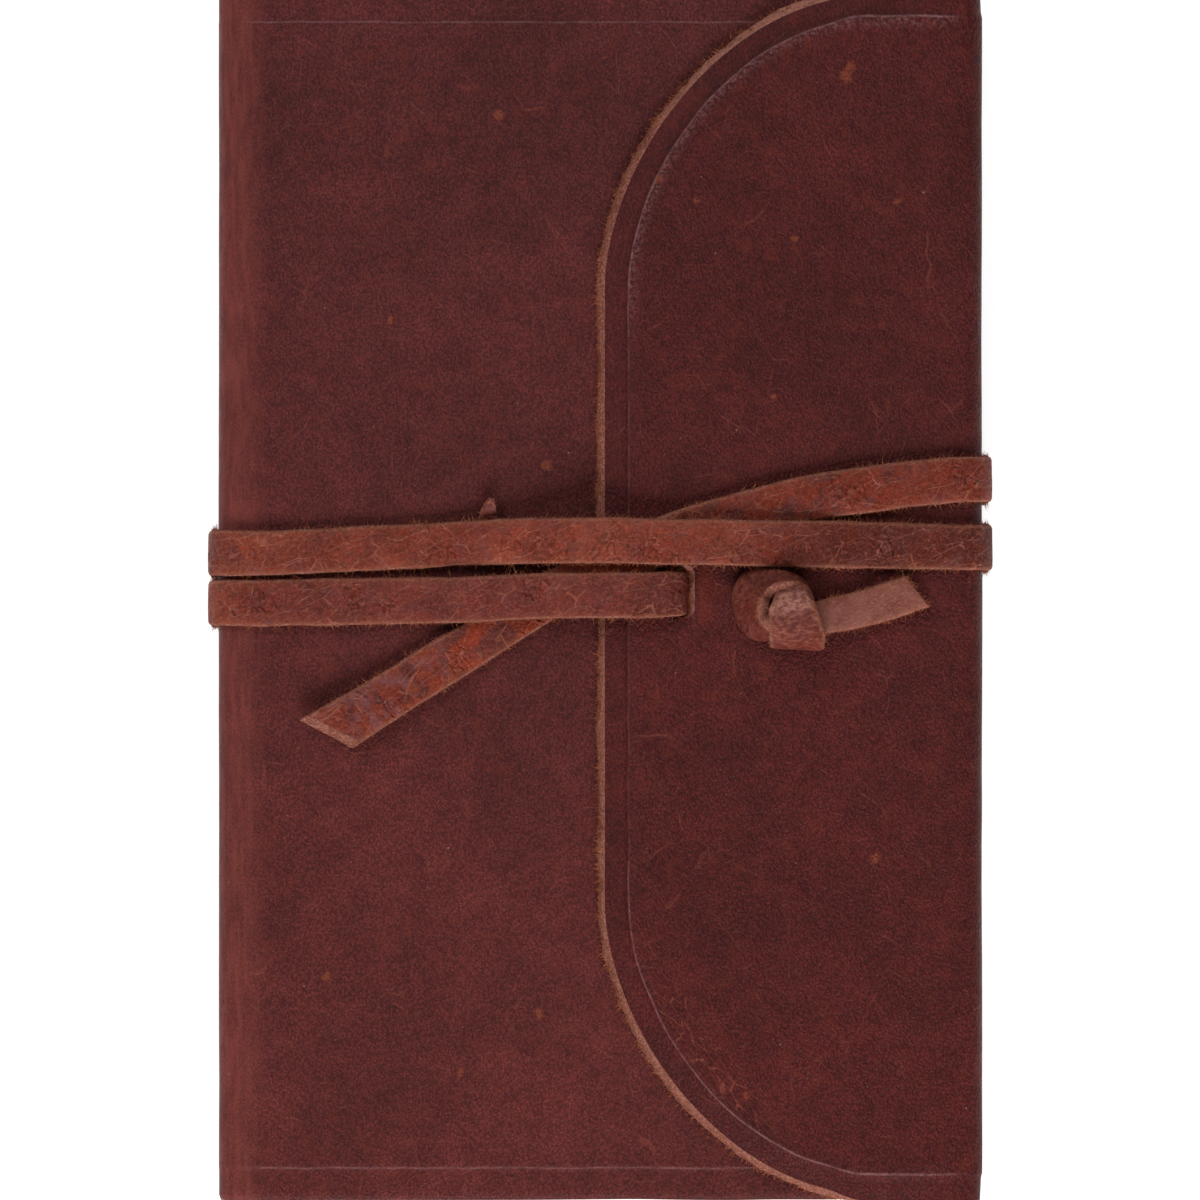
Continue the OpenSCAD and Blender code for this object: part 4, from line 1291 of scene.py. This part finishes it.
def raw_paint():
    """A cut edge: pale fibres packed through the thickness of the leather."""
    p = Paint("raw_edge", Roughness=0.9, Specular_IOR_Level=0.1)
    y = p.part(1)
    base = p.mix(p.span(y, 60, -60), (0.180, 0.052, 0.036), (0.215, 0.068, 0.047))
    fibres = p.noise(0.42, 4, 0.7)
    clumps = p.noise(1.7, 3, 0.6)
    colour = p.mix(p.span(fibres, 0.42, 0.66), base, (0.37, 0.160, 0.115))
    # Painted light: the cut edge round the flap's upper corner, which faces away from the key light, is
    # made lighter.
    corner = p.times(p.span(y, 78, 92), p.span(p.part(0), 8, 20))
    colour = p.coat(colour, (0.42, 0.195, 0.145), corner, 0.4)
    colour = p.coat(colour, (0.13, 0.036, 0.022), p.span(clumps, 0.52, 0.7), 0.5)
    return p.finish(colour, p.plus(p.times(fibres, 1.0), p.times(clumps, 1.2)), None, 0.3)


def flesh_paint():
    """The flesh side: short fibrous nap in rosy tan."""
    p = Paint("flesh_side", Roughness=0.92, Specular_IOR_Level=0.1)
    nap = p.noise(0.4, 4, 0.7, stretch=(0.6, 1, 1))
    colour = p.mix(p.span(p.noise(3.5, 4, 0.6), 0.32, 0.7), (0.165, 0.047, 0.033), (0.235, 0.082, 0.063))
    colour = p.coat(colour, (0.33, 0.145, 0.11), p.span(nap, 0.45, 0.7), 0.6)
    colour = p.coat(colour, (0.40, 0.16, 0.08), p.edge, p.span(p.noise(0.8, 3, 0.7), 0.35, 0.6), 0.7)
    return p.finish(colour, p.plus(nap, p.times(p.noise(1.6, 3), 1.1)), None, 0.22)


def fibre_paint():
    p = Paint("loose_fibres", Roughness=0.9, Specular_IOR_Level=0.1)
    colour = p.mix(p.span(p.noise(3.5, 2), 0.35, 0.65), (0.20, 0.050, 0.022), (0.42, 0.135, 0.055))
    return p.finish(colour)


def suede_paint():
    """The thin lining leather, matte, with a soft nap brushed both ways."""
    p = Paint("lining_suede", Roughness=0.93, Specular_IOR_Level=0.16, Sheen_Weight=0.35,
              Sheen_Roughness=0.45)
    brushed = p.span(p.noise(26, 3, 0.6), 0.38, 0.62)
    colour = p.mix(brushed, (0.185, 0.072, 0.037), (0.255, 0.108, 0.058))
    nap = p.noise(0.3, 3, 0.7)
    colour = p.shaded(colour, p.span(nap, 0.25, 0.75, 0.8, 1.2))
    rubbed = p.span(p.noise(9, 4, 0.7), 0.6, 0.8)
    colour = p.coat(colour, (0.13, 0.05, 0.028), rubbed, 0.4)
    return p.finish(colour, p.plus(nap, p.times(p.noise(2.4, 3), 0.6)), None, 0.1)


def board_paint():
    """Grey-brown cardboard, layered through its thickness."""
    p = Paint("cardboard", "object", Roughness=0.95, Specular_IOR_Level=0.2)
    layers = p.noise(0.28, 2, stretch=(0.03, 0.03, 1))
    colour = p.mix(p.span(p.noise(1.2, 4, 0.7), 0.3, 0.7), (0.34, 0.26, 0.17), (0.47, 0.38, 0.26))
    colour = p.coat(colour, (0.25, 0.19, 0.12), p.span(layers, 0.5, 0.62), 0.5)
    return p.finish(colour, p.plus(layers, p.noise(0.6, 3)), None, 0.08)


def card_paint():
    """The notebook's covers: black card with a fine linen grain."""
    p = Paint("notebook_linen_card", Roughness=0.62, Specular_IOR_Level=0.35)
    warp = p.noise(0.5, 2, stretch=(1, 0.1, 1))
    weft = p.noise(0.5, 2, stretch=(0.1, 1, 1))
    linen = p.plus(p.times(warp, 0.5), p.times(weft, 0.5))
    colour = p.mix(p.span(linen, 0.4, 0.62), (0.020, 0.0185, 0.0175), (0.045, 0.042, 0.039))
    colour = p.coat(colour, (0.065, 0.058, 0.052), p.span(p.noise(14, 4, 0.7), 0.55, 0.8), 0.5)
    return p.finish(colour, linen, p.span(p.noise(8, 3), 0.3, 0.7, 0.5, 0.72), 0.08)


def paper_paint():
    """Uncoated cream paper, a little darker where hands have turned it."""
    p = Paint("cream_paper", Roughness=0.9, Specular_IOR_Level=0.25)
    colour = p.mix(p.span(p.noise(7, 4, 0.6), 0.3, 0.7), (0.79, 0.72, 0.585), (0.82, 0.76, 0.63))
    colour = p.coat(colour, (0.60, 0.52, 0.38), p.span(p.noise(0.4, 3, 0.7), 0.55, 0.75), 0.25)
    return p.finish(colour, p.noise(0.25, 3), None, 0.03)


# ---------------------------------------------------------------- the scene
def make_stage():
    """A pale floor, soft studio lights and a straight-down camera."""
    scene = bpy.context.scene
    bpy.ops.mesh.primitive_plane_add(size=4)
    floor = bpy.context.object
    floor.name = "floor"
    floor.location.z = -0.35 * MM
    pale = Paint("pale_floor", "object", Roughness=0.9, Specular_IOR_Level=0.1)
    pale.shader.inputs["Emission Color"].default_value = (1, 1, 1, 1)
    pale.shader.inputs["Emission Strength"].default_value = 0.75
    cloud = pale.mix(pale.noise(300, 2), (0.50, 0.50, 0.50), (0.54, 0.54, 0.54))
    floor.data.materials.append(pale.finish(cloud))
    world = bpy.data.worlds.new("studio")
    scene.world = world
    world.use_nodes = True
    background = world.node_tree.nodes["Background"].inputs
    background["Color"].default_value = (1, 1, 1, 1)
    background["Strength"].default_value = 0.17
    for name, place, size, power in (
        ("key_light", (0.20, -1.28, 0.90), (1.3, 0.7), 28.5),
        ("fill_light", (-0.60, 0.95, 1.00), (1.2, 0.8), 12.5),
    ):
        data = bpy.data.lights.new(name, "AREA")
        data.shape = "RECTANGLE"
        data.size, data.size_y = size
        data.energy = power
        lamp = bpy.data.objects.new(name, data)
        scene.collection.objects.link(lamp)
        lamp.location = place
        aim = Vector((0, 0, 0.02)) - lamp.location
        lamp.rotation_euler = aim.to_track_quat("-Z", "Y").to_euler()
    data = bpy.data.cameras.new("camera")
    camera = bpy.data.objects.new("camera", data)
    scene.collection.objects.link(camera)
    distance, view_width, view_y = 2.4, 223.05 * MM, -0.93 * MM
    camera.location = (0, view_y, FRONT_Z + distance)
    data.sensor_width = 36
    data.lens = 36 * distance / view_width
    data.clip_start, data.clip_end = 0.05, 20
    scene.camera = camera
    scene.view_settings.view_transform = "Standard"
    scene.view_settings.look = "None"


make_stage()
tie_rows, tie_ends = tie_path()
tie_places = (tie_rows[tie_ends, 7] / MM).tolist()
strap_leather = strap_paint("tie_grain", tie_places)
loop_leather = strap_paint("knot_loop_grain", tie_places, 0.35)
band_leather = strap_paint("knot_band_grain", tie_places, 0.5, 0.42)
hide, raw, flesh = hide_paint(), raw_paint(), flesh_paint()
fibre, suede, card, paper, board = fibre_paint(), suede_paint(), card_paint(), paper_paint(), board_paint()
make_hide(hide, raw, flesh, fibre)
make_tie(tie_rows, tie_ends, strap_leather, raw, flesh, fibre)
make_knot(strap_leather, loop_leather, band_leather, raw, flesh, fibre)
make_lining(suede)
make_pockets(suede)
make_notebook(card, paper)
for node in ("back_board", "front_board", "flap_board"):
    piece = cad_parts[node]
    piece.data.materials.clear()
    piece.data.materials.append(board)
